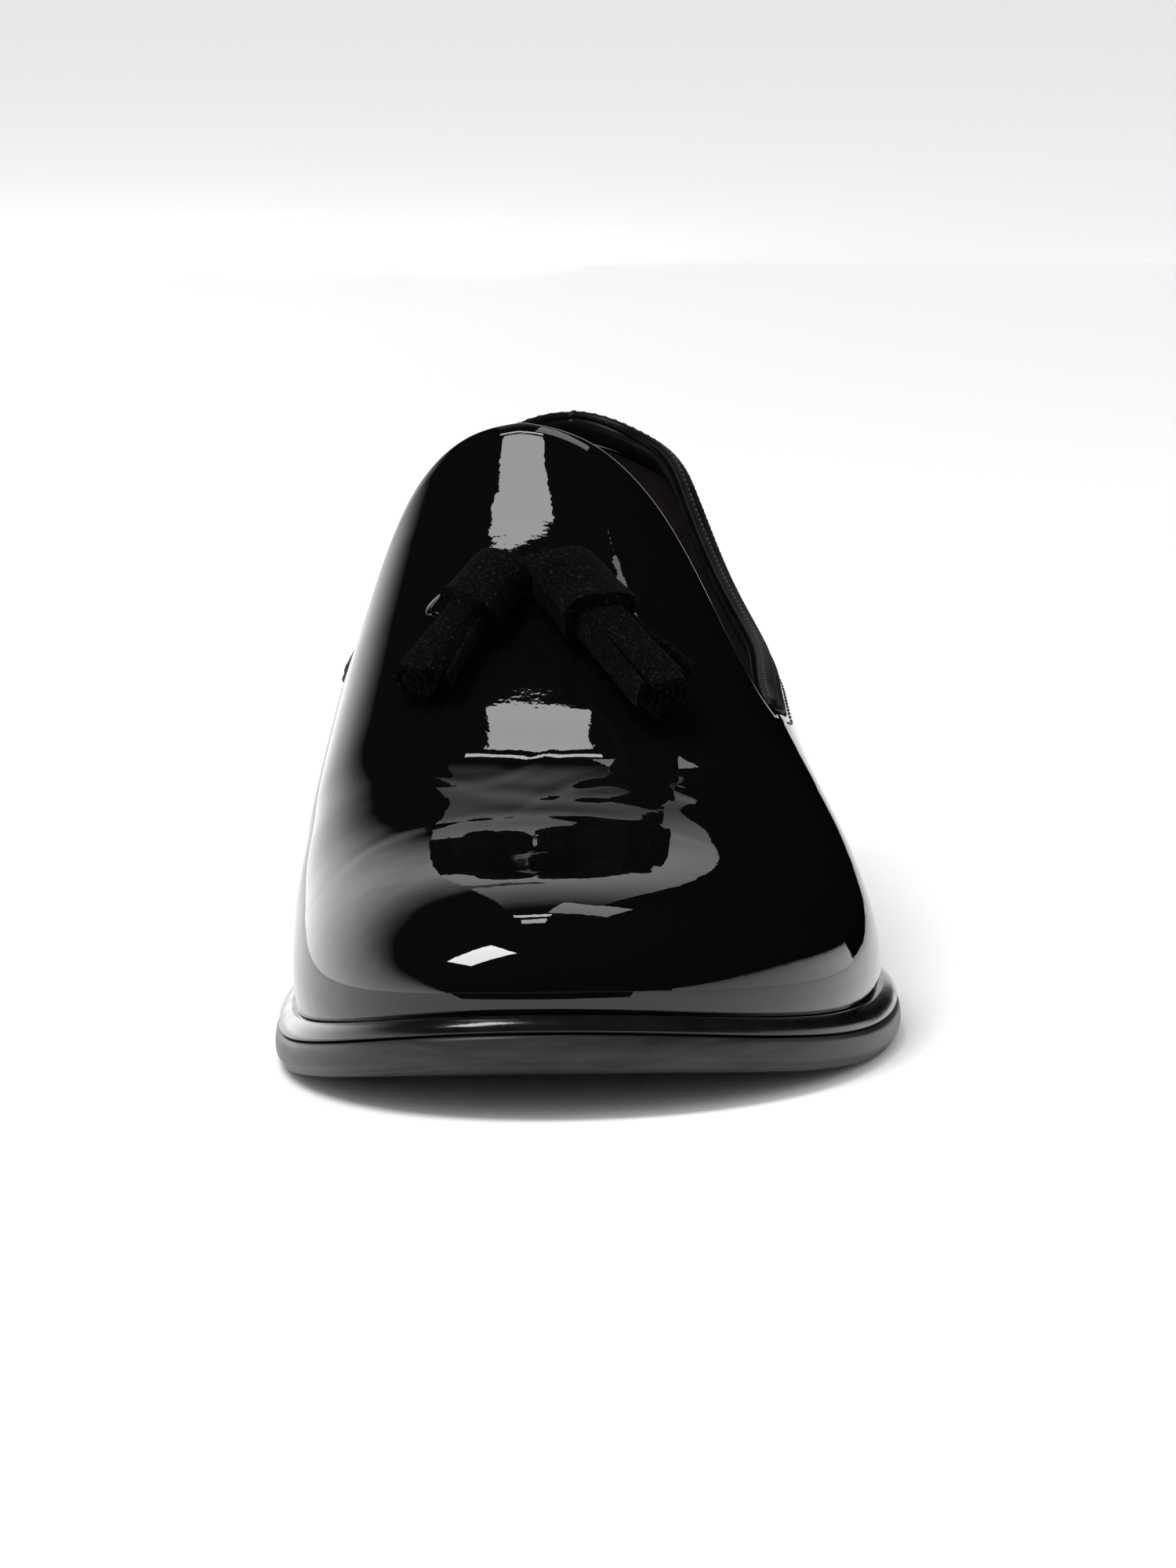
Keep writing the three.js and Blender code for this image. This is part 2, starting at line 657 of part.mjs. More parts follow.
// One tassel along +X from its top end: a wrapped cap, a rolled core and strips round it
function tasselGeometry(size, long) {
  const half = (TASSEL_WIDTH / 2) * size;
  const capLength = CAP_LENGTH * long;
  const length = TASSEL_LENGTH * long;
  const cap = loft([
    { x: 0, y: 0, z: 0, wide: half * 0.62, thick: half * 0.45 },
    { x: capLength * 0.15, y: 0, z: 0, wide: half * 0.85, thick: half * 0.72 },
    { x: capLength * 0.55, y: 0, z: 0, wide: half * 1.0, thick: half * 0.86 },
    { x: capLength, y: 0, z: 0, wide: half * 1.08, thick: half * 0.92 },
  ], 16, 0.8);
  const core = loft([
    { x: capLength * 0.7, y: 0, z: 0, wide: half * 0.55, thick: half * 0.5 },
    { x: length * 0.98, y: 0, z: 0, wide: half * 0.62, thick: half * 0.56 },
  ], 10, 1);
  let joined = solid(cap).add(solid(core));
  STRIPS.angle.forEach((degrees, i) => {
    const angle = THREE.MathUtils.degToRad(degrees);
    const sections = [0, 0.5, 1].map((share) => {
      const radius = half * (0.62 + STRIPS.spread[i] * share);
      const x = THREE.MathUtils.lerp(capLength * 0.8, length * STRIPS.length[i], share);
      return {
        x,
        y: radius * Math.cos(angle),
        z: radius * Math.sin(angle) * 0.86,
        wide: half * 0.34,
        thick: half * 0.14,
        turn: angle + Math.PI / 2,
      };
    });
    joined = joined.add(solid(loft(sections, 8, 0.6)));
  });
  return fromSolid(joined);
}

// Where each tassel's axis starts and ends over the upper, how high its middle lies in shares of its
// width, and its size and length in shares of the smaller one's
const TASSELS = columns([
  ['side', 'startAround', 'startUp', 'startLift', 'endAround', 'endUp', 'endLift', 'size', 'long'],
  ['medial', 0.2610, 0.970, 0.49, 0.3025, 0.806, 0.55, 1.0, 1.0],
  ['lateral', 0.7365, 0.966, 0.60, 0.6855, 0.800, 0.72, 1.3, 1.14],
]);
function overUpper(s, v, lift) {
  return surface(s, v).addScaledVector(outward(s, v), lift);
}

function tasselMatrix(i) {
  const [low, high] = [TASSELS.startLift[i] * TASSEL_WIDTH, TASSELS.endLift[i] * TASSEL_WIDTH];
  const start = overUpper(TASSELS.startAround[i], TASSELS.startUp[i], low);
  const end = overUpper(TASSELS.endAround[i], TASSELS.endUp[i], high);
  const along = end.clone().sub(start).normalize();
  const normal = outward((TASSELS.startAround[i] + TASSELS.endAround[i]) / 2, 0.9);
  const across = normal.cross(along).normalize();
  const up = along.clone().cross(across);
  return new THREE.Matrix4().makeBasis(along, across, up).setPosition(start);
}

// Tie: the short suede tab that both tassels hang from, lying across the ridge
const TIE_PLACE = { around: 0.7426, up: 0.980, lift: TIE_THICK / 2 + CLEARANCE };
function tieGeometry() {
  const at = overUpper(TIE_PLACE.around, TIE_PLACE.up, TIE_PLACE.lift);
  const block = loft([
    { x: -TIE_LENGTH / 2, y: 0, z: 0, wide: TIE_WIDTH * 0.47, thick: TIE_THICK * 0.45 },
    { x: 0, y: 0, z: 0, wide: TIE_WIDTH / 2, thick: TIE_THICK / 2 },
    { x: TIE_LENGTH / 2, y: 0, z: 0, wide: TIE_WIDTH * 0.47, thick: TIE_THICK * 0.45 },
  ], 12, 0.7);
  const normal = outward(TIE_PLACE.around, TIE_PLACE.up);
  const along = new THREE.Vector3(0, -1, 0).projectOnPlane(normal).normalize();
  const across = normal.clone().cross(along);
  return block.applyMatrix4(new THREE.Matrix4().makeBasis(along, across, normal).setPosition(at));
}

// Materials
const MATERIALS = {
  patent: { color: 0x0b0b0c, roughness: 0.08, metalness: 0 },
  lining: { color: 0x1a1413, roughness: 0.6, metalness: 0 },
  binding: { color: 0x141315, roughness: 0.45, metalness: 0 },
  welt: { color: 0x17171a, roughness: 0.2, metalness: 0 },
  sole: { color: 0x2a2a2d, roughness: 0.4, metalness: 0 },
  rubber: { color: 0x151516, roughness: 0.7, metalness: 0 },
  suede: { color: 0x1c1a1b, roughness: 0.95, metalness: 0 },
};

const shoe = new THREE.Group();
function addPiece(name, shape, material) {
  const plain = shape.index ? shape : mergeVertices(shape);
  plain.computeVertexNormals();
  const mesh = new THREE.Mesh(plain, new THREE.MeshStandardMaterial(MATERIALS[material]));
  mesh.name = name;
  shoe.add(mesh);
  return mesh;
}

addPiece('heel_top_piece', heelLayer(0, TOP_PIECE_THICK), 'rubber');
addPiece('heel_block', heelLayer(TOP_PIECE_THICK + CLEARANCE, HEEL_HEIGHT - CLEARANCE), 'sole');
addPiece('outsole', outsoleGeometry(), 'sole');
addPiece('welt', weltGeometry(), 'welt');
addPiece('insole', insoleGeometry(), 'lining');
addPiece('upper', upperGeometry(), 'patent');
addPiece('collar_binding', bindingGeometry(), 'binding');
addPiece('tassel_tie', tieGeometry(), 'suede');
TASSELS.side.forEach((side, i) => {
  const shape = tasselGeometry(TASSELS.size[i], TASSELS.long[i]).applyMatrix4(tasselMatrix(i));
  addPiece(`tassel_${side}`, shape, 'suede');
});

// The frame's origin is the middle of the shoe's footprint, on the floor
const bounds = new THREE.Box3().setFromObject(shoe);
const middle = bounds.getCenter(new THREE.Vector3());
shoe.position.set(-middle.x, -middle.y, -bounds.min.z);
const part = new THREE.Group();
part.add(shoe);

export default part;
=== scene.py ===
import bmesh
import bpy
import numpy as np
from mathutils import Matrix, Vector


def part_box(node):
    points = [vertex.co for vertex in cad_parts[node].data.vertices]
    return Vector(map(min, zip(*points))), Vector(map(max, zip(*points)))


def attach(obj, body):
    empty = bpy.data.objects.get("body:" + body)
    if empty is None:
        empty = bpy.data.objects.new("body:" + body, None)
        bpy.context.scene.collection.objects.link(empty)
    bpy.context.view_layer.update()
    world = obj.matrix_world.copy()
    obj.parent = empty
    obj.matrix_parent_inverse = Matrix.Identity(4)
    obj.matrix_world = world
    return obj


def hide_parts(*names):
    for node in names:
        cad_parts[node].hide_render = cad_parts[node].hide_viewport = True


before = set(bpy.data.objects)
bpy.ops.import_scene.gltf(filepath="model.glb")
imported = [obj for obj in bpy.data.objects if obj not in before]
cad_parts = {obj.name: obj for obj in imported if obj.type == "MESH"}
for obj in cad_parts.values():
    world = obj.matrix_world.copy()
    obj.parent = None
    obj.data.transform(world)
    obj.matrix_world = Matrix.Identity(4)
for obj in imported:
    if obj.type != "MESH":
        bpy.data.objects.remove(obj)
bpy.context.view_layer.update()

# Shoe coordinates are in millimetres: x across, d back from the toe tip, z up from the floor
LAST_LENGTH = 298.0
BALL_WIDTH = 99.0
RIDGE_RISE = 100.0
BACK_HEIGHT = 60.0
HEEL_HEIGHT = 16.0
TOE_SPRING = 9.0
OUTSOLE_THICK = 5.7
WELT_THICK = 3.1
TOP_PIECE_THICK = 4.2
UPPER_WALL = 1.9
INSOLE_THICK = 1.9
CLEARANCE = 0.3
WELT_OUT = 3.1
WELT_WAIST_OUT = 2.2
OUTSOLE_LIP = 0.6
WELT_IN = 5.2
HEEL_INSET = 1.2
HEEL_TAPER = 1.8
BINDING_HEIGHT = 6.0
BINDING_THICK = 4.4
BINDING_TIP_HEIGHT = 2.0
BINDING_TIP_THICK = 2.2
BINDING_LIP = 0.5
BINDING_FADE = 0.03
TASSEL_LENGTH = 37.0
CAP_LENGTH = 15.0
TASSEL_WIDTH = 9.0
SUEDE_THICK = 1.1
TIE_LENGTH = 7.0
TIE_WIDTH = 9.0
TIE_THICK = 3.4
THREAD_THICK = 0.45
STITCH_LENGTH = 2.0
STITCH_GAP = 0.7
STITCH_DROP = 1.7
ROLL_STITCH_LENGTH = 1.5
ROLL_STITCH_GAP = 0.6
PUCKER_PITCH = 2.3
TUCK_PITCH = 1.7

# Feather line from toe to heel in shares of length and ball width, and where its wall meets the ridge
FEATHER = np.array([
    [0.121, 0.003, -0.081, 0.003, -0.081],
    [0.128, 0.034, -0.313, 0.030, 0.192],
    [0.158, 0.128, -0.449, 0.114, 0.409],
    [0.242, 0.235, -0.473, 0.221, 0.517],
    [0.349, 0.349, -0.457, 0.339, 0.542],
    [0.470, 0.470, -0.396, 0.460, 0.472],
    [0.591, 0.591, -0.340, 0.581, 0.432],
    [0.711, 0.711, -0.323, 0.701, 0.371],
    [0.826, 0.832, -0.325, 0.826, 0.343],
    [0.879, 0.953, -0.262, 0.950, 0.268],
    [0.893, 0.995, 0.018, 0.995, 0.018],
])

# Wall profile at ten even places round the loop from the heel, in shares of the way in and of the rise
WALL_LOOP = np.array([
    [-0.10, 0.15, -0.14, 0.50, -0.02, 0.92, 0.50],
    [-0.08, 0.15, -0.04, 0.36, 0.76, 0.58, 0.82],
    [-0.06, 0.16, -0.14, 0.48, -0.03, 1.00, 0.06],
    [-0.01, 0.22, -0.04, 0.63, -0.02, 0.98, 0.34],
    [-0.05, 0.22, -0.03, 0.62, 0.16, 0.99, 0.56],
    [-0.06, 0.22, -0.03, 0.62, 0.20, 0.99, 0.62],
    [-0.05, 0.22, -0.02, 0.60, 0.18, 0.98, 0.62],
    [-0.03, 0.14, 0.01, 0.54, 0.29, 0.95, 0.56],
    [-0.06, 0.15, 0.02, 0.40, 0.44, 0.86, 0.28],
    [-0.08, 0.15, -0.04, 0.36, 0.88, 0.58, 0.90],
])

# Ridge of the upper: place along, rise and side
RIDGE = np.array([
    [0.000, 0.158, -0.045],
    [0.050, 0.201, -0.045],
    [0.101, 0.238, -0.045],
    [0.151, 0.270, -0.045],
    [0.201, 0.303, -0.045],
    [0.252, 0.346, -0.046],
    [0.302, 0.406, -0.048],
    [0.369, 0.506, -0.053],
    [0.446, 0.612, -0.066],
    [0.520, 0.689, -0.080],
    [0.587, 0.752, -0.076],
    [0.671, 0.834, -0.060],
    [0.772, 0.926, -0.037],
    [0.879, 0.976, -0.015],
    [1.000, 0.996, 0.018],
])

# Top of the collar: place along, height on the medial and the lateral side in shares of BACK_HEIGHT
COLLAR = np.array([
    [0.383, 0.720, 0.685],
    [0.411, 0.747, 0.700],
    [0.440, 0.768, 0.692],
    [0.500, 0.760, 0.670],
    [0.570, 0.693, 0.610],
    [0.638, 0.620, 0.565],
    [0.688, 0.608, 0.580],
    [0.732, 0.635, 0.624],
    [0.772, 0.680, 0.677],
    [0.822, 0.757, 0.755],
    [0.879, 0.852, 0.852],
    [0.923, 0.908, 0.908],
    [0.956, 0.952, 0.962],
    [0.968, 0.996, 0.998],
])

NOTCH = (0.266, 0.729)
TONGUE_TIP = (0.2015, 0.7985)
TONGUE_SWEEP = np.array([
    [0.0, 0.00], [0.1, 0.06], [0.2, 0.26], [0.3, 0.50], [0.4, 0.67], [0.6, 0.85], [0.8, 0.95], [1.0, 1.00],
])
TOE_BAND_TOP = 0.5
FLAT_FRONT = 0.248
FLAT_BACK = 0.356
SEAT = 0.745
WELT_FOOT = OUTSOLE_THICK + CLEARANCE
WELT_TOP = WELT_FOOT + WELT_THICK
FEATHER_LEVEL = WELT_TOP + CLEARANCE


def lerp(a, b, t):
    """Value a share t of the way from a to b."""
    return a + (b - a) * t


def smooth(value):
    """Smooth step from 0 to 1: t squared times 3 less 2t."""
    t = np.clip(value, 0.0, 1.0)
    return t * t * (3.0 - 2.0 * t)


def bump_at(value, middle, half):
    """Bell of height 1 round the middle: e to the minus square of the distance over half."""
    return np.exp(-(((value - middle) / half) ** 2))


def unit(vectors):
    """Vectors scaled to length 1."""
    return vectors / np.maximum(np.linalg.norm(vectors, axis=-1, keepdims=True), 1e-12)


def spline(xs, ys):
    """Natural cubic spline through the points (xs, ys), held constant outside them."""
    xs = np.asarray(xs, float)
    ys = np.asarray(ys, float)
    count = len(xs)
    gap = np.diff(xs)
    system = np.eye(count)
    right = np.zeros(count)
    for i in range(1, count - 1):
        system[i, i - 1:i + 2] = gap[i - 1], 2 * (gap[i - 1] + gap[i]), gap[i]
        right[i] = 6 * ((ys[i + 1] - ys[i]) / gap[i] - (ys[i] - ys[i - 1]) / gap[i - 1])
    curve = np.linalg.solve(system, right)

    def value(at):
        x = np.clip(at, xs[0], xs[-1])
        k = np.clip(np.searchsorted(xs, x, side="right") - 1, 0, count - 2)
        h = gap[k]
        a = xs[k + 1] - x
        b = x - xs[k]
        bend = (curve[k] * a**3 + curve[k + 1] * b**3) / (6 * h)
        return bend + (ys[k] / h - curve[k] * h / 6) * a + (ys[k + 1] / h - curve[k + 1] * h / 6) * b

    return value


def loop_spline(rows, s):
    """Closed uniform cubic B-spline over the rows, s from 0 to 1 round the loop."""
    count = len(rows)
    u = np.mod(s, 1.0) * count
    i = np.floor(u).astype(int)
    t = (u - i)[..., None]
    weights = ((1 - t) ** 3, 3 * t**3 - 6 * t * t + 4, -3 * t**3 + 3 * t * t + 3 * t + 1, t**3)
    return sum(w * rows[(i + k - 1) % count] for k, w in enumerate(weights)) / 6


def half_loop(along, side):
    """Rows of one side of the feather line: d, x and the place on the ridge, in millimetres."""
    scale = LAST_LENGTH, BALL_WIDTH, LAST_LENGTH
    return FEATHER[:, [along, side, 0]] * scale


FEATHER_LOOP = np.concatenate([half_loop(1, 2)[::-1], half_loop(3, 4)[1:-1]])
ridge_rise = spline(RIDGE[:, 0], RIDGE[:, 1])
ridge_side = spline(RIDGE[:, 0], RIDGE[:, 2])
collar_medial = spline(COLLAR[:, 0], COLLAR[:, 1])
collar_lateral = spline(COLLAR[:, 0], COLLAR[:, 2])
tongue_sweep = spline(TONGUE_SWEEP[:, 0], TONGUE_SWEEP[:, 1])


def sole_height(d):
    """Height of the sole's underside: a square law over the toe, flat at the ball, a smooth rise behind."""
    along = d / LAST_LENGTH
    toe = np.clip((FLAT_FRONT - along) / FLAT_FRONT, 0, 1)
    rise = np.clip((along - FLAT_BACK) / (SEAT - FLAT_BACK), 0, 1)
    return TOE_SPRING * toe**2 + HEEL_HEIGHT * rise**3 * (10 - 15 * rise + 6 * rise * rise)


def surface(s, v):
    """Point of the last: a quintic curve from the feather line at s, v 0, to the ridge, v 1."""
    s, v = np.broadcast_arrays(np.asarray(s, float), np.asarray(v, float))
    d0, x0, ridge_at = np.moveaxis(loop_spline(FEATHER_LOOP, s), -1, 0)
    wall = np.moveaxis(loop_spline(WALL_LOOP, s), -1, 0)
    w = 1 - v
    mix = (5 * v * w**4, 10 * v * v * w**3, 10 * v**3 * w * w, 5 * v**4 * w, v**5)
    inward = mix[0] * wall[0] + mix[1] * wall[2] + mix[2] * wall[4] + mix[3] * wall[6] + mix[4]
    upward = mix[0] * wall[1] + mix[1] * wall[3] + mix[2] * wall[5] + mix[3] + mix[4]
    d = d0 + (ridge_at - d0) * inward
    x = x0 + (ridge_side(ridge_at / LAST_LENGTH) * BALL_WIDTH - x0) * inward
    z = sole_height(d) + FEATHER_LEVEL + RIDGE_RISE * ridge_rise(d / LAST_LENGTH) * upward
    return np.stack([x, d, z], -1)


STEP = 1e-3


def outward(s, v):
    """Outward normal of the last: the way round the loop crossed with the way up the wall."""
    at = np.clip(v, STEP, 0.975)
    around = surface(s + STEP, at) - surface(s - STEP, at)
    up = surface(s, at + STEP) - surface(s, at - STEP)
    return unit(np.cross(around, up))


def last_share(low, high, holds):
    """Largest share v for which a test holds, between two limits, found by halving."""
    for _ in range(30):
        middle = (low + high) / 2
        under = holds(middle)
        low = np.where(under, middle, low)
        high = np.where(under, high, middle)
    return (low + high) / 2


def collar_share(s):
    """Share v where the wall at s reaches the collar's top."""
    medial = np.mod(s, 1.0) < 0.5

    def under(v):
        point = surface(s, v)
        along = point[..., 1] / LAST_LENGTH
        rise = np.where(medial, collar_medial(along), collar_lateral(along))
        return point[..., 2] < sole_height(point[..., 1]) + FEATHER_LEVEL + BACK_HEIGHT * rise

    return last_share(np.full(np.shape(s), 0.05), np.full(np.shape(s), 0.95), under)


def below_collar(s, drop):
    """Share v of the wall at s a straight way down from the collar's top."""
    share = collar_share(s)
    top = surface(s, share)
    return last_share(0 * share, share, lambda v: np.linalg.norm(surface(s, v) - top, axis=-1) > drop)


def binding_swell(s):
    """0 at the V and 1 away from it."""
    s = np.mod(s, 1.0)
    return smooth(np.where(s < 0.5, NOTCH[0] - s, s - NOTCH[1]) / BINDING_FADE)


def binding_height(s):
    """Height of the collar roll at s, least at the V."""
    return lerp(BINDING_TIP_HEIGHT, BINDING_HEIGHT, binding_swell(s))


def quarter_top(s):
    """Share v of the quarters' top edge, a clearance below the collar roll."""
    return below_collar(s, binding_height(s) + CLEARANCE)


def welt_out(d):
    """How far the welt stands out from the feather line, widest at the forepart."""
    return lerp(WELT_WAIST_OUT, WELT_OUT, smooth((0.56 - d / LAST_LENGTH) / 0.2))


def beside_feather(s, out, height):
    """Point beside the feather line: out from it in plan, and a height over the sole's underside."""
    d, x, _ = np.moveaxis(loop_spline(FEATHER_LOOP, s), -1, 0)
    d1, x1, _ = np.moveaxis(loop_spline(FEATHER_LOOP, s + STEP), -1, 0)
    d0, x0, _ = np.moveaxis(loop_spline(FEATHER_LOOP, s - STEP), -1, 0)
    along = np.hypot(d1 - d0, x1 - x0)
    away = out(d) if callable(out) else out
    depth = d - (x1 - x0) / along * away
    side = x + (d1 - d0) / along * away
    return np.stack([side, depth, sole_height(depth) + height], -1)


# The row's origin is the middle of the footprint, which the outsole's fullest edge sets
edge_ring = beside_feather(np.arange(88) / 88, lambda d: welt_out(d) + OUTSOLE_LIP, 0.0)
outsole_box = np.array(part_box("outsole"))
SHIFT = (edge_ring.min(0) + edge_ring.max(0))[:2] / 2 - outsole_box.mean(0)[:2] * 1000


def to_row(points):
    """Millimetres in shoe coordinates to metres in the row frame."""
    moved = points.reshape(-1, 3).copy()
    moved[:, :2] -= SHIFT
    return moved * 0.001


# Points closer than WELD metres become one, and an edge sharper than SHARP stays crisp
WELD = 2e-6
SHARP = np.radians(48)


class Piece:
    """Collects grids of points, and makes them one welded mesh with its materials and UV map."""

    def __init__(self):
        self.points = []
        self.faces = []
        self.slots = []
        self.uvs = []
        self.count = 0

    def grid(self, points, closed=False, flip=False, slot=0):
        """Adds a grid of rows and columns; closed joins the last column to the first."""
        rows, cols = points.shape[:2]
        index = np.arange(rows * cols).reshape(rows, cols) + self.count
        if closed:
            index = np.concatenate([index, index[:, :1]], 1)
        quads = np.stack([index[:-1, :-1], index[:-1, 1:], index[1:, 1:], index[1:, :-1]], -1).reshape(-1, 4)
        self.points.append(points.reshape(-1, 3))
        self.faces.append(quads[:, ::-1] if flip else quads)
        self.slots.append(np.full(len(quads), slot))
        v, u = np.meshgrid(np.linspace(0, 1, rows), np.linspace(0, 1, cols), indexing="ij")
        self.uvs.append(np.stack([u, v], -1).reshape(-1, 2))
        self.count += rows * cols
        return self

    def shell(self, outer, inner):
        """Adds a sheet between two grids, with its open edges filled."""
        self.grid(outer)
        self.grid(inner, flip=True)
        for row in (0, -1):
            self.grid(np.stack([inner[row], outer[row]]), flip=row == -1)
        for col in (0, -1):
            self.grid(np.stack([outer[:, col], inner[:, col]]), flip=col == -1)
        return self

    def tube(self, rings):
        """Adds a closed tube of rings with its two ends drawn to their middles."""
        self.grid(rings, closed=True)
        for end in (0, -1):
            ring = rings[end]
            middle = np.broadcast_to(ring.mean(0), ring.shape)
            cap = [middle, ring] if end == 0 else [ring, middle]
            self.grid(np.stack(cap), closed=True)
        return self

    def many(self, points, quads):
        """Adds copies of one small mesh: points of each copy, and the quads of one."""
        copies, each = points.shape[:2]
        faces = (quads[None] + (np.arange(copies) * each)[:, None, None]).reshape(-1, 4) + self.count
        self.points.append(points.reshape(-1, 3))
        self.faces.append(faces)
        self.slots.append(np.zeros(len(faces)))
        self.uvs.append(np.zeros((copies * each, 2)))
        self.count += copies * each
        return self

    def make(self, name, materials, slot, replaces=None):
        """Welds the grids, turns the faces out, and rides the mesh on the shoe."""
        points = to_row(np.concatenate(self.points))
        faces = np.concatenate(self.faces)
        uvs = np.concatenate(self.uvs)
        mesh = bpy.data.meshes.new(name)
        mesh.from_pydata(points, [], faces.tolist())
        mesh.polygons.foreach_set("material_index", np.concatenate(self.slots).astype(np.int32))
        uv_map = mesh.uv_layers.new(name="UVMap")
        uv_map.data.foreach_set("uv", uvs[faces.reshape(-1)].reshape(-1))
        shape = bmesh.new()
        shape.from_mesh(mesh)
        bmesh.ops.remove_doubles(shape, verts=shape.verts, dist=WELD)
        bmesh.ops.dissolve_degenerate(shape, edges=shape.edges, dist=WELD / 20)
        bmesh.ops.recalc_face_normals(shape, faces=shape.faces)
        shape.to_mesh(mesh)
        shape.free()
        mesh.polygons.foreach_set("use_smooth", np.ones(len(mesh.polygons), bool))
        mesh.set_sharp_from_angle(angle=SHARP)
        for material in materials:
            mesh.materials.append(material)
        piece = bpy.data.objects.new(name, mesh)
        bpy.context.scene.collection.objects.link(piece)
        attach(piece, "root")
        if replaces:
            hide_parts(replaces)
        return piece


def finish(name, colour, roughness, **shader):
    """A new material with its shader's own sockets set; returns it with its node tree and shader."""
    made = bpy.data.materials.new(name)
    made.use_nodes = True
    node = made.node_tree.nodes["Principled BSDF"]
    node.inputs["Base Color"].default_value = (*colour, 1)
    node.inputs["Roughness"].default_value = roughness
    for socket, value in shader.items():
        node.inputs[socket.replace("_", " ")].default_value = value
    return made, made.node_tree, node


def pattern(tree, kind, scale, stretch=(1, 1, 1), **settings):
    """A texture node on Object coordinates, stretched and scaled."""
    place = tree.nodes.new("ShaderNodeTexCoord")
    mapping = tree.nodes.new("ShaderNodeMapping")
    mapping.inputs["Scale"].default_value = stretch
    texture = tree.nodes.new(kind)
    texture.inputs["Scale"].default_value = scale
    for socket, value in settings.items():
        texture.inputs[socket.replace("_", " ")].default_value = value
    tree.links.new(place.outputs["Object"], mapping.inputs["Vector"])
    tree.links.new(mapping.outputs["Vector"], texture.inputs["Vector"])
    return texture.outputs[0]


def ramp(tree, value, stops):
    """A colour ramp over a value, from a list of places and colours."""
    node = tree.nodes.new("ShaderNodeValToRGB")
    node.color_ramp.elements.remove(node.color_ramp.elements[1])
    for i, (place, colour) in enumerate(stops):
        stop = node.color_ramp.elements[0] if i == 0 else node.color_ramp.elements.new(place)
        stop.position = place
        stop.color = (*colour, 1)
    tree.links.new(value, node.inputs["Fac"])
    return node.outputs["Color"]


def spread(tree, value, low, high):
    """Maps a value from 0..1 to low..high."""
    node = tree.nodes.new("ShaderNodeMapRange")
    node.inputs["From Min"].default_value = 0.25
    node.inputs["From Max"].default_value = 0.75
    node.inputs["To Min"].default_value = low
    node.inputs["To Max"].default_value = high
    tree.links.new(value, node.inputs["Value"])
    return node.outputs["Result"]


def relief(tree, height, depth, under=None):
    """A bump from a height pattern, over another bump if given."""
    node = tree.nodes.new("ShaderNodeBump")
    node.inputs["Distance"].default_value = depth
    tree.links.new(height, node.inputs["Height"])
    if under is not None:
        tree.links.new(under, node.inputs["Normal"])
    return node.outputs["Normal"]


def patent_leather():
    """Black leather under a thick clear film, with a slow wave and a fine peel in the gloss."""
    made, tree, shader = finish(
        "patent_leather", (0.002, 0.002, 0.0024), 0.4,
        Coat_Weight=1.0, Coat_Roughness=0.015, Coat_IOR=1.52, Specular_IOR_Level=0.0,
    )
    wave = relief(tree, pattern(tree, "ShaderNodeTexNoise", 55.0, Detail=2.0), 0.00014)
    peel = relief(tree, pattern(tree, "ShaderNodeTexNoise", 900.0, Detail=1.0), 0.000004, wave)
    tree.links.new(peel, shader.inputs["Normal"])
    tree.links.new(peel, shader.inputs["Coat Normal"])
    mottle = pattern(tree, "ShaderNodeTexNoise", 120.0, Detail=4.0)
    tree.links.new(spread(tree, mottle, 0.26, 0.4), shader.inputs["Roughness"])
    return made


def grained_leather(name, dark, light, roughness, grain, depth, **shader_values):
    """Leather with a cell grain, fine noise over it, and colour that follows the grain."""
    made, tree, shader = finish(name, dark, roughness, **shader_values)
    cells = pattern(tree, "ShaderNodeTexVoronoi", grain, Randomness=1.0)
    fine = pattern(tree, "ShaderNodeTexNoise", grain * 2.2, Detail=5.0)
    tree.links.new(relief(tree, fine, depth * 0.6, relief(tree, cells, depth)), shader.inputs["Normal"])
    mottle = pattern(tree, "ShaderNodeTexNoise", grain * 0.12, Detail=6.0)
    tree.links.new(ramp(tree, mottle, [(0.3, dark), (0.7, light)]), shader.inputs["Base Color"])
    tree.links.new(spread(tree, fine, roughness * 0.85, roughness * 1.2), shader.inputs["Roughness"])
    return made


def dressed_edge(name, dark, light, roughness, stretch, **shader_values):
    """Ironed and waxed leather edge: long fine streaks along it in colour, gloss and relief."""
    made, tree, shader = finish(name, dark, roughness, **shader_values)
    streaks = pattern(tree, "ShaderNodeTexNoise", 160.0, stretch, Detail=8.0, Roughness=0.6)
    pores = pattern(tree, "ShaderNodeTexNoise", 1400.0, Detail=4.0)
    tree.links.new(ramp(tree, streaks, [(0.3, dark), (0.72, light)]), shader.inputs["Base Color"])
    tree.links.new(spread(tree, streaks, roughness * 0.8, roughness * 1.35), shader.inputs["Roughness"])
    tree.links.new(relief(tree, pores, 0.00002, relief(tree, streaks, 0.00008)), shader.inputs["Normal"])
    return made


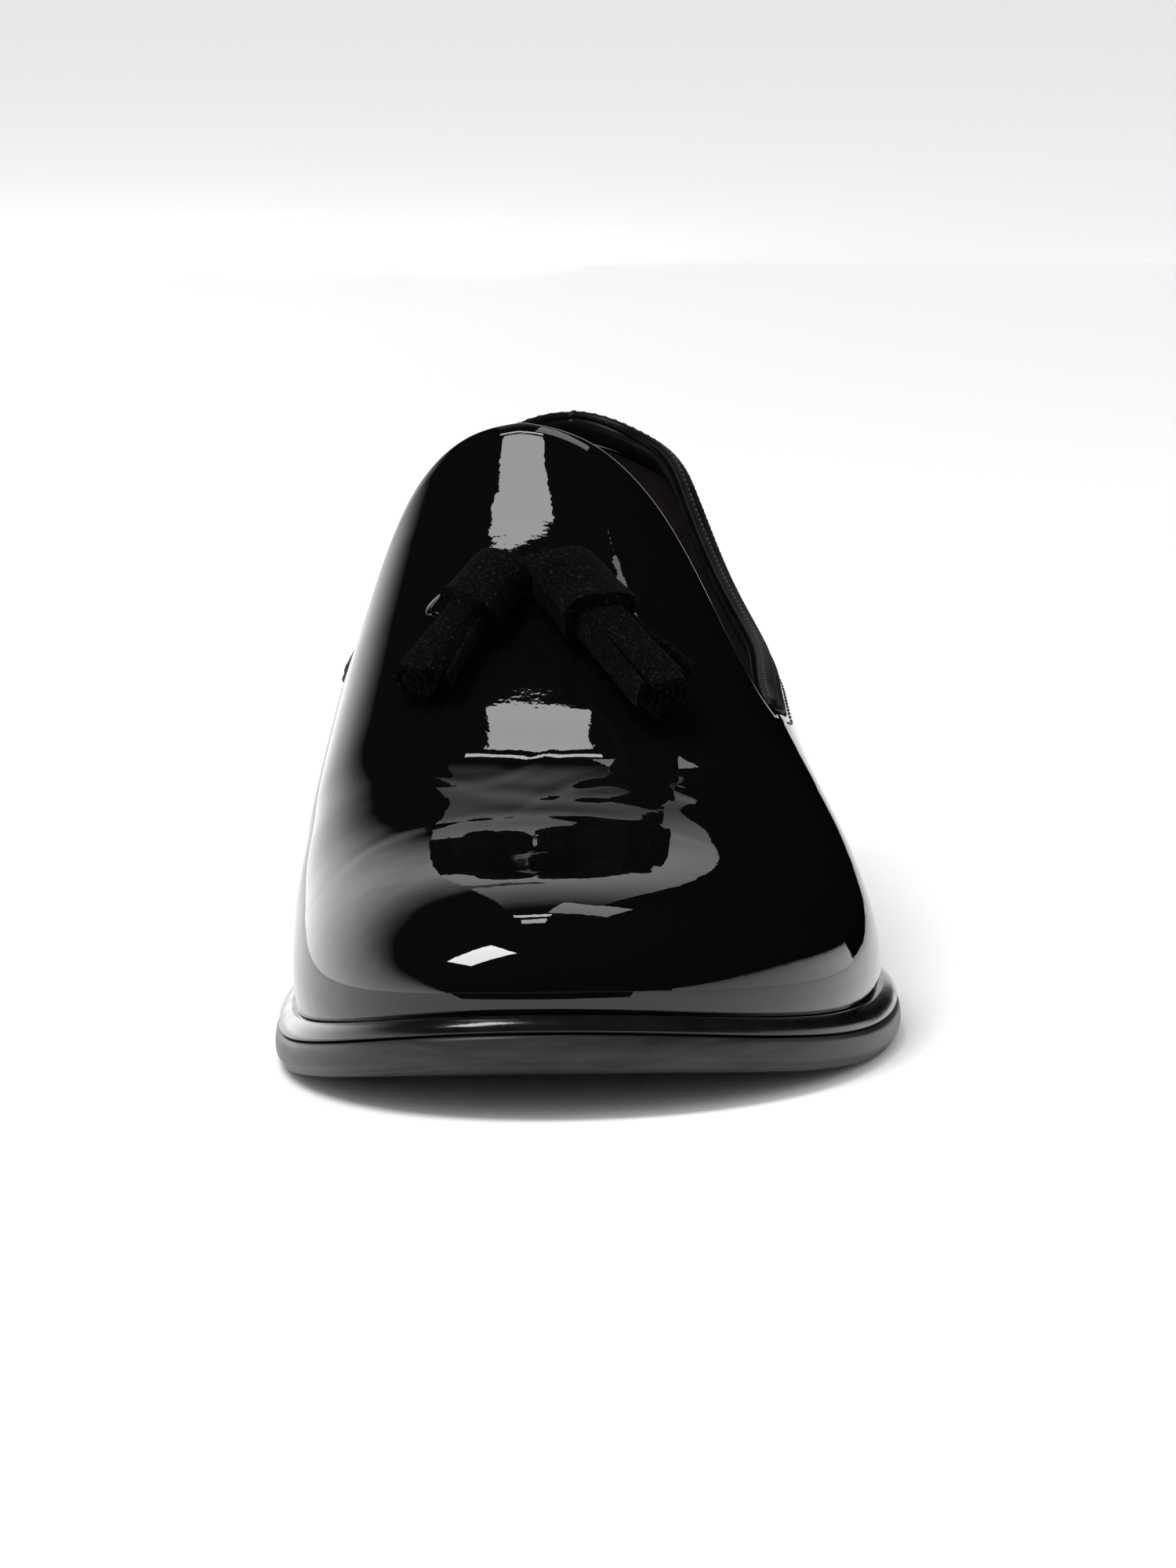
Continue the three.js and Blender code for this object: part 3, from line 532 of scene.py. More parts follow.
def napped_suede():
    """Suede: matt, with a sheen at grazing angles, brushed patches and a fine nap."""
    made, tree, shader = finish(
        "napped_suede", (0.008, 0.008, 0.009), 0.95,
        Sheen_Weight=0.012, Sheen_Roughness=0.4, Specular_IOR_Level=0.03,
    )
    nap = pattern(tree, "ShaderNodeTexNoise", 1700.0, Detail=4.0, Roughness=0.65)
    patches = pattern(tree, "ShaderNodeTexNoise", 260.0, Detail=5.0, Roughness=0.65)
    dark = ramp(tree, nap, [
        (0.42, (0.0004, 0.0004, 0.0005)), (0.58, (0.0022, 0.0022, 0.0025)), (0.72, (0.03, 0.029, 0.031)),
    ])
    mix = tree.nodes.new("ShaderNodeMix")
    mix.data_type = "RGBA"
    mix.blend_type = "MULTIPLY"
    mix.inputs["Factor"].default_value = 0.6
    tree.links.new(dark, mix.inputs["A"])
    tree.links.new(ramp(tree, patches, [(0.3, (0.45, 0.45, 0.46)), (0.7, (1, 1, 1))]), mix.inputs["B"])
    tree.links.new(mix.outputs["Result"], shader.inputs["Base Color"])
    tree.links.new(relief(tree, nap, 0.0006, relief(tree, patches, 0.0004)), shader.inputs["Normal"])
    return made


PATENT = patent_leather()
BINDING = grained_leather(
    "binding_leather", (0.002, 0.002, 0.0024), (0.005, 0.005, 0.0055), 0.5, 1500.0, 0.00005,
    Specular_IOR_Level=0.0, Coat_Weight=0.16, Coat_Roughness=0.28,
)
LINING = grained_leather(
    "lining_leather", (0.012, 0.009, 0.008), (0.022, 0.016, 0.014), 0.55, 1300.0, 0.00008,
)
WELT = dressed_edge(
    "welt_edge", (0.003, 0.003, 0.0033), (0.007, 0.007, 0.0075), 0.2, (1, 1, 1),
    Coat_Weight=0.25, Coat_Roughness=0.1, Specular_IOR_Level=0.3,
)
SOLE = dressed_edge(
    "sole_edge", (0.010, 0.0095, 0.010), (0.04, 0.037, 0.036), 0.34, (0.3, 0.3, 2.5),
    Specular_IOR_Level=0.2,
)
UNDERSIDE = grained_leather(
    "sole_leather", (0.02, 0.019, 0.019), (0.045, 0.043, 0.042), 0.5, 700.0, 0.00005,
)
HEEL = dressed_edge("heel_stack", (0.02, 0.02, 0.022), (0.045, 0.044, 0.046), 0.36, (0.25, 0.25, 6.0))
RUBBER = grained_leather(
    "rubber_lift", (0.014, 0.014, 0.015), (0.024, 0.024, 0.025), 0.65, 900.0, 0.00005,
)
SUEDE = napped_suede()
THREAD = grained_leather(
    "waxed_thread", (0.01, 0.01, 0.011), (0.022, 0.022, 0.024), 0.35, 3000.0, 0.00004,
)

# Upper
QUARTER_COLUMNS = 110
VAMP_COLUMNS = 120
BAND_ROWS = 44
PATCH_ROWS = 76
RIM_ROWS = 6

# Creases over the joint of the toes: place along and side of the middle, bow, half length, half width,
# depth, all in shares of the last's length and the ball's width but for the depth, in millimetres
CREASES = (
    (0.290, -0.02, 0.02, 0.36, 0.024, 0.62),
    (0.272, 0.10, -0.03, 0.16, 0.006, 0.16),
    (0.268, -0.16, 0.03, 0.12, 0.005, 0.12),
    (0.249, 0.02, 0.03, 0.30, 0.008, 0.14),
    (0.226, -0.08, -0.02, 0.26, 0.006, 0.09),
)


def crease_depth(points):
    """Soft troughs with a low ridge on the toe side: a bell less a lower one beside it, faded at the ends."""
    x = points[..., 0] / BALL_WIDTH
    along = points[..., 1] / LAST_LENGTH
    total = np.zeros(x.shape)
    for place, side, bow, half, width, depth in CREASES:
        across = (x - side) / half
        q = along - place - bow * across**2
        wave = bump_at(q, 0, width) - 0.3 * bump_at(q, -1.9 * width, width)
        total += depth * wave * np.exp(-(np.abs(across) ** 3))
    return total


def skin(s, v, depth):
    """Point of the upper's skin, a depth in from its face, with the foot of the wall kept level."""
    normal = outward(s, v)
    normal[..., 2] *= smooth(v / 0.1)
    return surface(s, v) - unit(normal) * depth[..., None]


def upper_columns():
    """Columns round the loop from the heel: s, the turn of the tongue's sweep, u along the vamp, side."""
    quarter = np.arange(QUARTER_COLUMNS) / QUARTER_COLUMNS
    reach = (0.5 - NOTCH[0], NOTCH[1] - 0.5)
    turn = (TONGUE_TIP[0] - NOTCH[0], TONGUE_TIP[1] - NOTCH[1])
    u = np.arange(VAMP_COLUMNS, -1, -1) / VAMP_COLUMNS
    ridge = reach[0] * u - turn[0] * u**4
    medial = np.stack([0.5 - reach[0] * u, turn[0] * u**4, u, 0 * u], 1)
    lateral = np.stack([0.5 + reach[1] * u, ridge - reach[1] * u, u, 0 * u + 1], 1)[::-1][1:]
    first = np.stack([NOTCH[0] * quarter, 0 * quarter, 0 * quarter, 0 * quarter], 1)
    rest = quarter[1:]
    last = np.stack([lerp(NOTCH[1], 1, rest), 0 * rest, 0 * rest, 0 * rest + 1], 1)
    return np.concatenate([first, medial, lateral, last])


def upper_skin(depth):
    """One skin of the upper: a band round the loop, and the vamp's patch from the band to the ridge."""
    s, turn, u, side = upper_columns().T
    vamp = slice(QUARTER_COLUMNS, QUARTER_COLUMNS + 2 * VAMP_COLUMNS + 1)
    tops = quarter_top(s)
    tip = np.where(side < 0.5, quarter_top(NOTCH[0]), quarter_top(NOTCH[1]))
    tops[vamp] = lerp(TOE_BAND_TOP, tip, smooth(u))[vamp]
    up = np.linspace(0, 1, BAND_ROWS + 1)[:, None]
    band_v = tops[None] * up
    band = skin(np.broadcast_to(s, band_v.shape), band_v, np.full(band_v.shape, depth))
    rise = np.linspace(0, 1, PATCH_ROWS + 1)[:, None]
    patch_v = lerp(tops[vamp][None], 1, rise)
    patch_s = s[vamp][None] + turn[vamp][None] * tongue_sweep(rise)
    patch = skin(patch_s, patch_v, np.full(patch_v.shape, depth))
    top_s = patch_s[-1]
    normal = unit(outward(top_s, np.ones(top_s.shape)) + outward(1 - top_s, np.ones(top_s.shape)))
    patch[-1] = surface(top_s, np.ones(top_s.shape)) - normal * depth
    if depth == 0:
        for part, ss, vv in ((band, np.broadcast_to(s, band_v.shape), band_v), (patch, patch_s, patch_v)):
            normals = outward(ss, vv)
            if part is patch:
                normals[-1] = normal
            part -= normals * crease_depth(part)[..., None]
    return band, patch, vamp


def rim_path(band, patch, vamp):
    """The opening's edge: the quarters' top from lateral to medial, then up and down the tongue's edge."""
    quarters = np.concatenate([band[-1, vamp.stop:], band[-1, :vamp.start]])
    return np.concatenate([quarters, patch[:, 0], patch[::-1, -1][1:]])


def make_upper():
    """Outer and inner skins with a level foot between them, and a half-round rim round the opening."""
    outer, outer_patch, vamp = upper_skin(0.0)
    inner, inner_patch, _ = upper_skin(UPPER_WALL)
    upper = Piece()
    upper.grid(outer, closed=True).grid(outer_patch)
    upper.grid(inner, closed=True, flip=True, slot=1).grid(inner_patch, flip=True, slot=1)
    upper.grid(np.stack([inner[0], outer[0]]), closed=True)
    first = rim_path(outer, outer_patch, vamp)
    last = rim_path(inner, inner_patch, vamp)
    tangent = np.roll(first, -1, 0) - np.roll(first, 1, 0)
    away = unit(np.cross(tangent, first - last))
    swell = np.where(np.arange(len(first)) < 2 * QUARTER_COLUMNS - 1, 0.15, 0.8) * UPPER_WALL / 2
    turn = np.linspace(0, np.pi, RIM_ROWS + 1)[:, None, None]
    middle = (first + last) / 2
    sign = np.sign(np.sum(away[3] * (first[3] - outer[-2, vamp.stop + 3])))
    rim = middle + (first - middle) * np.cos(turn) + sign * (away * swell[:, None]) * np.sin(turn)
    upper.grid(rim, closed=True)
    return upper.make("patent_upper", [PATENT, LINING], "patent", "upper")


make_upper()

# Collar binding
BINDING_START = 0.008
BINDING_SIDES = 40
BINDING_SECTIONS = 520


def binding_frame(s):
    """Top point of the collar, the level way out from it, and the way down the wall."""
    v = collar_share(s)
    top = surface(s, v)
    out = outward(s, v)
    out[:, 2] = 0
    down = unit(surface(s, v - 0.02) - top)
    return top, unit(out), down


def capsules(path, normal, length, gap, thick):
    """Stitches along a path: capsules of a length with gaps, lying on the surface with that normal."""
    run = np.concatenate([[0], np.cumsum(np.linalg.norm(np.diff(path, axis=0), axis=1))])
    count = int(run[-1] / (length + gap))
    starts = (np.arange(count) + 0.5) * (length + gap)
    middle = np.stack([np.interp(starts, run, path[:, k]) for k in range(3)], 1)
    ahead = np.stack([np.interp(starts + 0.2, run, path[:, k]) for k in range(3)], 1)
    over = unit(np.stack([np.interp(starts, run, normal[:, k]) for k in range(3)], 1))
    along = unit(ahead - middle)
    side = np.cross(over, along)
    places = np.array([-1, -0.9, -0.5, 0, 0.5, 0.9, 1])
    radii = np.array([0.05, 0.6, 0.95, 1, 0.95, 0.6, 0.05]) * thick / 2
    sink = np.array([-0.8, -0.35, 0.1, 0.3, 0.1, -0.35, -0.8]) * thick / 2
    angle = np.linspace(0, 2 * np.pi, 6, endpoint=False)
    x = places[:, None] * length / 2 + 0 * angle
    y = radii[:, None] * np.cos(angle)
    z = radii[:, None] * np.sin(angle) + sink[:, None]
    local = np.stack([x, y, z], -1).reshape(-1, 3)
    points = middle[:, None] + local[None, :, :1] * along[:, None] + local[None, :, 1:2] * side[:, None]
    points = points + local[None, :, 2:] * over[:, None]
    index = np.arange(42).reshape(7, 6)
    index = np.concatenate([index, index[:, :1]], 1)
    quads = np.stack([index[:-1, :-1], index[:-1, 1:], index[1:, 1:], index[1:, :-1]], -1).reshape(-1, 4)
    ends = np.array([[0, 1, 2, 3], [0, 3, 4, 5], [38, 37, 36, 41], [41, 40, 39, 38]])
    return points, np.concatenate([quads, ends])


def make_binding():
    """A rounded section along the collar, grooved outside, inside and on the crown, with small puckers."""
    s = np.linspace(NOTCH[1] + BINDING_START, 1 + NOTCH[0] - BINDING_START, BINDING_SECTIONS)
    top, out, down = binding_frame(s)
    length = np.concatenate([[0], np.cumsum(np.linalg.norm(np.diff(top, axis=0), axis=1))])
    swell = binding_swell(s)
    height = binding_height(s)[:, None]
    thick = lerp(BINDING_TIP_THICK, BINDING_THICK, swell)[:, None]
    angle = np.linspace(0, 2 * np.pi, BINDING_SIDES, endpoint=False)[None]
    rounded = lambda value: np.sign(value) * np.abs(value) ** 0.78
    folded = lambda wide, middle=0: bump_at(np.mod(angle - middle + np.pi, 2 * np.pi) - np.pi, 0, wide)
    pucker = np.sin(2 * np.pi * length / PUCKER_PITCH)[:, None]
    tuck = np.sin(2 * np.pi * length / TUCK_PITCH)[:, None] * (1 - swell)[:, None]
    dent = 0.55 * folded(0.2) * swell[:, None] - 0.07 * pucker * folded(0.75) - 0.12 * tuck
    inner = 0.5 * folded(0.2, 0.84 * np.pi) + 0.06 * pucker * folded(0.25, 0.68 * np.pi) - 0.08 * tuck
    crown = 1.15 * folded(0.15, 0.60 * np.pi) * lerp(0.5, 1, swell[:, None])
    across = BINDING_LIP - thick / 2 * (1 - rounded(np.cos(angle))) - dent * (np.cos(angle) > 0)
    across = across + inner * (np.cos(angle) < 0)
    below = height / 2 * (1 - rounded(np.sin(angle))) + crown
    rings = top[:, None] + out[:, None] * across[..., None] + down[:, None] * below[..., None]
    close = np.minimum(1, np.minimum(np.arange(len(s)), np.arange(len(s))[::-1]) / 8.0 + 0.25)[:, None, None]
    middle = rings.mean(1, keepdims=True)
    rings = middle + (rings - middle) * np.sqrt(close)
    roll = Piece().tube(rings)
    over = unit(rings[6:-6, BINDING_SIDES // 5] - middle[6:-6, 0])
    seam = rings[6:-6, BINDING_SIDES // 5] - over * THREAD_THICK * 0.3
    thread = Piece().many(*capsules(seam, over, ROLL_STITCH_LENGTH, ROLL_STITCH_GAP, THREAD_THICK))
    thread.make("roll_stitches", [THREAD], "binding")
    made = roll.make("binding_roll", [BINDING], "binding", "collar_binding")
    return made


make_binding()


def make_stitches():
    """A row of stitches on the quarters, a little below the collar roll."""
    thread = Piece()
    s = np.linspace(NOTCH[1] + 0.012, 1 + NOTCH[0] - 0.012, 600)
    v = below_collar(s, binding_height(s) + STITCH_DROP)
    over = outward(s, v)
    thread.many(*capsules(surface(s, v), over, STITCH_LENGTH, STITCH_GAP, THREAD_THICK))
    return thread.make("collar_stitches", [THREAD], "binding")


make_stitches()

# Sole
LOOP_COLUMNS = 900


def ring_of(out, height):
    """One level of an edge, all round the loop."""
    return beside_feather(np.arange(LOOP_COLUMNS) / LOOP_COLUMNS, out, height)


def face_between(out, height, start, stop, rows, across):
    """A face across the sole: each row runs straight from the medial to the lateral edge at one level."""
    u = np.linspace(start, stop, rows + 1)
    medial = beside_feather(0.5 - u / 2, out, height)
    lateral = beside_feather(0.5 + u / 2, out, height)
    t = np.linspace(0, 1, across + 1)[None, :, None]
    face = lerp(medial[:, None], lateral[:, None], t)
    face[..., 2] = sole_height(face[..., 1]) + height
    return face


def edge_between(levels, start, stop, rows):
    """The medial and the lateral side of a layer: rows of levels with out and height, bottom first."""
    u = np.linspace(start, stop, rows + 1)
    medial = np.stack([beside_feather(0.5 - u / 2, out, height) for out, height in levels])
    lateral = np.stack([beside_feather(0.5 + u / 2, out, height) for out, height in levels])
    return medial, lateral


def layer(levels, start, stop, rows, across, slots=(0, 0, 0)):
    """Closed layer: bottom face, edge and top face, with a straight front face where start is not 0."""
    body = Piece()
    medial, lateral = edge_between(levels, start, stop, rows)
    body.grid(face_between(*levels[0], start, stop, rows, across), flip=True, slot=slots[0])
    body.grid(face_between(*levels[-1], start, stop, rows, across), slot=slots[2])
    body.grid(medial, slot=slots[1])
    body.grid(lateral, flip=True, slot=slots[1])
    if start > 0:
        t = np.linspace(0, 1, across + 1)[None, :, None]
        front = lerp(medial[:, :1], lateral[:, :1], t)
        body.grid(front, slot=slots[1])
    return body


# Inset and height up the edge, in shares of the outsole's thickness
OUTSOLE_EDGE = np.array([
    [0.46, 0.00], [0.30, 0.03], [0.18, 0.13], [0.08, 0.26], [0.0, 0.48], [0.0, 0.66], [0.02, 0.80],
    [0.06, 0.91], [0.13, 0.98], [0.16, 1.00],
])


def make_outsole():
    """A layer whose edge bows out at its middle and rounds in to the underside."""
    inset = spline(OUTSOLE_EDGE[:, 1], OUTSOLE_EDGE[:, 0] * OUTSOLE_THICK)
    shares = (
        0, 0.012, 0.03, 0.06, 0.1, 0.15, 0.2, 0.26, 0.33, 0.4,
        0.48, 0.57, 0.66, 0.74, 0.82, 0.88, 0.93, 0.97, 1.0,
    )
    levels = [((lambda d, k=k: welt_out(d) + OUTSOLE_LIP - inset(k)), k * OUTSOLE_THICK) for k in shares]
    body = layer(levels, 0, 1, 420, 26, slots=(1, 0, 0))
    return body.make("leather_outsole", [SOLE, UNDERSIDE], "sole", "outsole")


make_outsole()

# Inset and height up the edge, in shares of the welt's thickness
WELT_EDGE = np.array([
    [0.06, 0.00], [0.00, 0.08], [0.00, 0.15], [0.05, 0.30],
    [0.16, 0.50], [0.36, 0.72], [0.56, 0.88], [0.74, 1.00],
])


def make_welt():
    """Rings round the feather line: level inside, upright at the foot and bevelled above."""
    inset = spline(np.arange(len(WELT_EDGE)), WELT_EDGE[:, 0] * WELT_THICK)
    level = spline(np.arange(len(WELT_EDGE)), WELT_EDGE[:, 1])
    at = np.linspace(0, len(WELT_EDGE) - 1, 22)
    outer = [ring_of(lambda d, k=k: welt_out(d) - inset(k), WELT_FOOT + level(k) * WELT_THICK) for k in at]
    rings = [ring_of(-WELT_IN, WELT_FOOT), *outer, ring_of(-WELT_IN, WELT_TOP)]
    rings.append(rings[0])
    return Piece().grid(np.stack(rings), closed=True).make("bevelled_welt", [WELT], "welt", "welt")


make_welt()


def make_insole():
    """A layer that fills the welt's middle and steps out to just inside the upper's wall."""
    narrow = -WELT_IN - CLEARANCE
    wide = -UPPER_WALL - 2 * CLEARANCE
    levels = [
        (narrow, WELT_FOOT), (narrow, FEATHER_LEVEL), (wide, FEATHER_LEVEL),
        (wide - 0.05, FEATHER_LEVEL + 1.2), (wide - 0.35, FEATHER_LEVEL + INSOLE_THICK),
    ]
    return layer(levels, 0, 1, 160, 24).make("sock_lining", [LINING], "lining", "insole")


make_insole()

HEEL_BREAST = 0.775


def heel_out(share):
    """How far the heel stands out from the feather line, a share of the way down its taper."""
    return lambda d: welt_out(d) + OUTSOLE_LIP - HEEL_INSET - HEEL_TAPER * share


def heel_layer(heights):
    """A layer of the heel from rows of height over the floor and inset from the taper."""
    levels = []
    for height, inset in heights:
        taper = heel_out(1 - height / HEEL_HEIGHT)
        levels.append((lambda d, taper=taper, inset=inset: taper(d) - inset, height - HEEL_HEIGHT))
    return layer(levels, HEEL_BREAST, 1, 120, 30)


def make_heel():
    """The stack has a fine groove between its lifts, and the top piece a soft edge."""
    lifts = 3
    low, high = TOP_PIECE_THICK + CLEARANCE, HEEL_HEIGHT - CLEARANCE
    heights = []
    for k in range(lifts):
        start = lerp(low, high, k / lifts)
        stop = lerp(low, high, (k + 1) / lifts)
        heights += [(start, 0.22), (start + 0.16, 0.03), (start + 0.5, 0.0)]
        heights += [(stop - 0.5, 0.0), (stop - 0.16, 0.03)]
    heights.append((high, 0.22))
    heel_layer(heights).make("heel_stack_piece", [HEEL], "heel", "heel_block")
    heights = [(0, 0.7), (0.12, 0.3), (0.4, 0.08), (0.9, 0), (3.6, 0), (4.0, 0.1), (TOP_PIECE_THICK, 0.3)]
    heel_layer(heights).make("rubber_top_piece", [RUBBER], "rubber", "heel_top_piece")


make_heel()

# Tassels: where each one's axis starts and ends over the upper, its lift in shares of the width, its
# size and its length
TASSELS = {
    "medial": (0.2610, 0.970, 0.49, 0.3025, 0.806, 0.55, 1.0, 1.0),
    "lateral": (0.7365, 0.966, 0.60, 0.6855, 0.800, 0.72, 1.3, 1.14),
}


def over_upper(s, v, lift):
    """Point a lift out from the upper's face."""
    at = np.array(float(s)), np.array(float(v))
    return surface(*at) + outward(*at) * lift


def tassel_frame(side):
    """Start of the axis, the way along it, across it and up from the upper; size and length."""
    around, up, lift, end_around, end_up, end_lift, size, long = TASSELS[side]
    start = over_upper(around, up, lift * TASSEL_WIDTH)
    along = unit(over_upper(end_around, end_up, end_lift * TASSEL_WIDTH) - start)
    normal = outward(np.array((around + end_around) / 2), np.array(0.9))
    across = unit(np.cross(normal, along))
    return start, np.stack([along, across, np.cross(along, across)]), size, long


def squared(value, power=0.72):
    """Cosine or sine drawn towards a box's, so that a ring gets flatter sides."""
    return np.sign(value) * np.abs(value) ** power


SHEET_COLUMNS = 90


def rolled_sheet(piece, half, start, stop, angle0, turns, grow, thick, place, rows=24, flare=0.0):
    """A sheet rolled round the axis: its radius grows with the turn, and its ends follow start and stop."""
    angle = angle0 + np.linspace(0, 2 * np.pi * turns, SHEET_COLUMNS)[None]
    t = np.linspace(0, 1, rows)[:, None]
    x = lerp(start(angle), stop(angle), t)
    wide, high = half(x)
    turn = np.linspace(0, turns, SHEET_COLUMNS)[None]

    def at(inset):
        y = (wide + grow * turn - inset) * squared(np.cos(angle)) * (1 + flare * t**3)
        z = (high + grow * turn - inset) * squared(np.sin(angle)) * (1 + flare * t**3)
        return place(np.stack([x + 0 * y, y, z], -1))

    piece.shell(at(0.0), at(thick))


def ribbon(piece, path, over, width, thick, place):
    """A flat strip along a path, with rounded edges: over is the way its face looks."""
    along = unit(np.gradient(path, axis=0))
    over = unit(over - np.sum(over * along, -1, keepdims=True) * along)
    side = np.cross(over, along)
    angle = np.linspace(0, 2 * np.pi, 16, endpoint=False)[None]
    y = width / 2 * squared(np.cos(angle), 0.3)
    z = thick / 2 * squared(np.sin(angle), 0.55)
    rings = path[:, None] + side[:, None] * y[..., None] + over[:, None] * z[..., None]
    piece.tube(place(rings))


# Strips: angle round the bundle, length, how far it spreads, width, in shares of the tassel's
STRIPS = {
    "medial": (
        (88, 1.00, 0.05, 0.98), (150, 0.975, 0.10, 0.80), (205, 1.00, 0.08, 0.76), (255, 0.97, 0.08, 0.80),
        (312, 0.99, 0.06, 0.80), (32, 0.96, 0.10, 0.74), (4, 0.93, 0.60, 0.62),
    ),
    "lateral": (
        (96, 1.02, 0.05, 1.02), (168, 0.98, 0.20, 0.84), (218, 1.00, 0.06, 0.80), (268, 0.97, 0.06, 0.80),
        (322, 0.985, 0.06, 0.80), (44, 0.95, 0.08, 0.74), (12, 0.91, 0.52, 0.60),
    ),
}


def make_tassel(side):
    """A suede sheet wrapped once and a third round a rolled core, and flat strips round the core."""
    start, basis, size, long = tassel_frame(side)
    place = lambda points: start + points @ basis
    half = TASSEL_WIDTH / 2 * size
    cap, length = CAP_LENGTH * long, TASSEL_LENGTH * long
    tassel = Piece()
    shoulder = spline([0, 0.04, 0.12, 0.3, 0.6, 0.85, 1.1], [0.70, 0.84, 0.93, 0.97, 0.96, 1.0, 1.05])

    def cap_half(x):
        swell = shoulder(x / cap)
        return half * 0.98 * swell, half * 0.84 * swell

    flap = lambda a: 0.16 * bump_at(np.mod(a, 2 * np.pi), 0.9, 0.75) + 0.05 * np.sin(a)
    rolled_sheet(tassel, cap_half, lambda a: 0 * a + 0.1, lambda a: cap * (0.93 + flap(a)),
                 0.9, 1.32, SUEDE_THICK * 0.85, SUEDE_THICK, place, flare=0.03)
    around = np.linspace(0, 2 * np.pi, 32, endpoint=False)
    plug = ((-0.1, 0.02), (0.0, 0.3), (0.1, 0.52), (0.5, 0.6), (cap * 0.9, 0.74))
    ring = lambda x, r: np.stack([0 * around + x, r * np.cos(around), 0.86 * r * np.sin(around)], -1)
    tassel.tube(place(np.stack([ring(x, r * half) for x, r in plug])))
    rolled_sheet(tassel, lambda x: (0.14 * half + 0 * x, 0.12 * half + 0 * x), lambda a: 0 * a + cap * 0.7,
                 lambda a: 0 * a + length * 0.985, 0.2, 2.3, half * 0.22, SUEDE_THICK * 0.75, place, rows=12)
    for i, (degrees, reach, wide_out, width) in enumerate(STRIPS[side]):
        angle = np.radians(degrees)
        t = np.linspace(0, 1, 26)
        x = lerp(cap * 0.8, length * reach, t)
        radius = half * (0.66 + wide_out * t**1.5 + 0.05 * np.sin(3.0 * t + i))
        path = np.stack([x, radius * np.cos(angle), radius * np.sin(angle) * 0.86], -1)
        over = np.broadcast_to([0.0, np.cos(angle), np.sin(angle)], path.shape)
        ribbon(tassel, path, over, half * width, SUEDE_THICK, place)
    return tassel.make(f"suede_tassel_{side}", [SUEDE], "suede", f"tassel_{side}")


def make_loop():
    """A thin glossy leather loop that stands out of the medial tassel's side, behind its cap."""
    start, basis, _, _ = tassel_frame("medial")
    place = lambda points: start + points @ basis
    t = np.linspace(0, 1, 40)
    places = np.array([
        [0.27, -0.29, 0.07], [0.67, -0.58, 0.04], [1.22, -0.81, -0.07],
        [1.58, -0.88, -0.20], [1.56, -0.71, -0.27],
    ]) * TASSEL_WIDTH
    route = np.stack([spline([0, 0.3, 0.55, 0.8, 1], places[:, k])(t) for k in range(3)], -1)
    loop = Piece()
    over = np.broadcast_to([0.0, -0.5, 0.85], route.shape)
    ribbon(loop, route, over, 0.17 * TASSEL_WIDTH, 0.07 * TASSEL_WIDTH, place)
    return loop.make("tassel_loop", [PATENT], "patent")


make_loop()
make_tassel("medial")
make_tassel("lateral")


def make_tie():
    """A short tab across the ridge, folded over so that its edge shows as a step."""
    around, up = 0.7426, 0.980
    middle = over_upper(around, up, TIE_THICK / 2 + CLEARANCE)
    normal = outward(np.array(around), np.array(up))
    along = np.array([0.0, -1.0, 0.0])
    along = unit(along - normal * np.dot(along, normal))
    basis = np.stack([along, np.cross(normal, along), normal])
    place = lambda points: middle + points @ basis
    tie = Piece()
    half = lambda x: (TIE_WIDTH / 2 * (0.94 + 0.06 * np.cos(x)) - 0.5, TIE_THICK / 2 - 0.45 + 0 * x)
    rolled_sheet(tie, half, lambda a: 0 * a - TIE_LENGTH / 2, lambda a: 0 * a + TIE_LENGTH / 2, 0.4, 1.2, 0.4,
                 SUEDE_THICK, place, rows=16)
    return tie.make("suede_tie", [SUEDE], "suede", "tassel_tie")


make_tie()


def heading(azimuth, elevation):
    """Unit vector: azimuth 0 is towards the camera's side and 90 towards +X, elevation is over the floor."""
    az, el = np.radians(azimuth), np.radians(elevation)
    return np.stack([np.sin(az) * np.cos(el), -np.cos(az) * np.cos(el), np.sin(el) + 0 * az], -1)


LIT_POINT = np.array([0.0, -0.06, 0.04])


def softbox(name, azimuth, elevation, size, glow, away=1.2):
    """A rectangular soft light in a direction from the shoe, aimed at it, of a given radiance."""
    lamp = bpy.data.lights.new(name, "AREA")
    lamp.shape = "RECTANGLE"
    lamp.size, lamp.size_y = size
    lamp.energy = glow * np.pi * size[0] * size[1]
    holder = bpy.data.objects.new(name, lamp)
    back = heading(azimuth, elevation)
    right = unit(np.cross([0.0, 0.0, 1.0], back))
    turned = np.eye(4)
    turned[:3, :3] = np.stack([right, np.cross(back, right), back], 1)
    turned[:3, 3] = LIT_POINT + back * away
    holder.matrix_world = Matrix(turned.tolist())
    holder.visible_camera = False
    bpy.context.scene.collection.objects.link(holder)


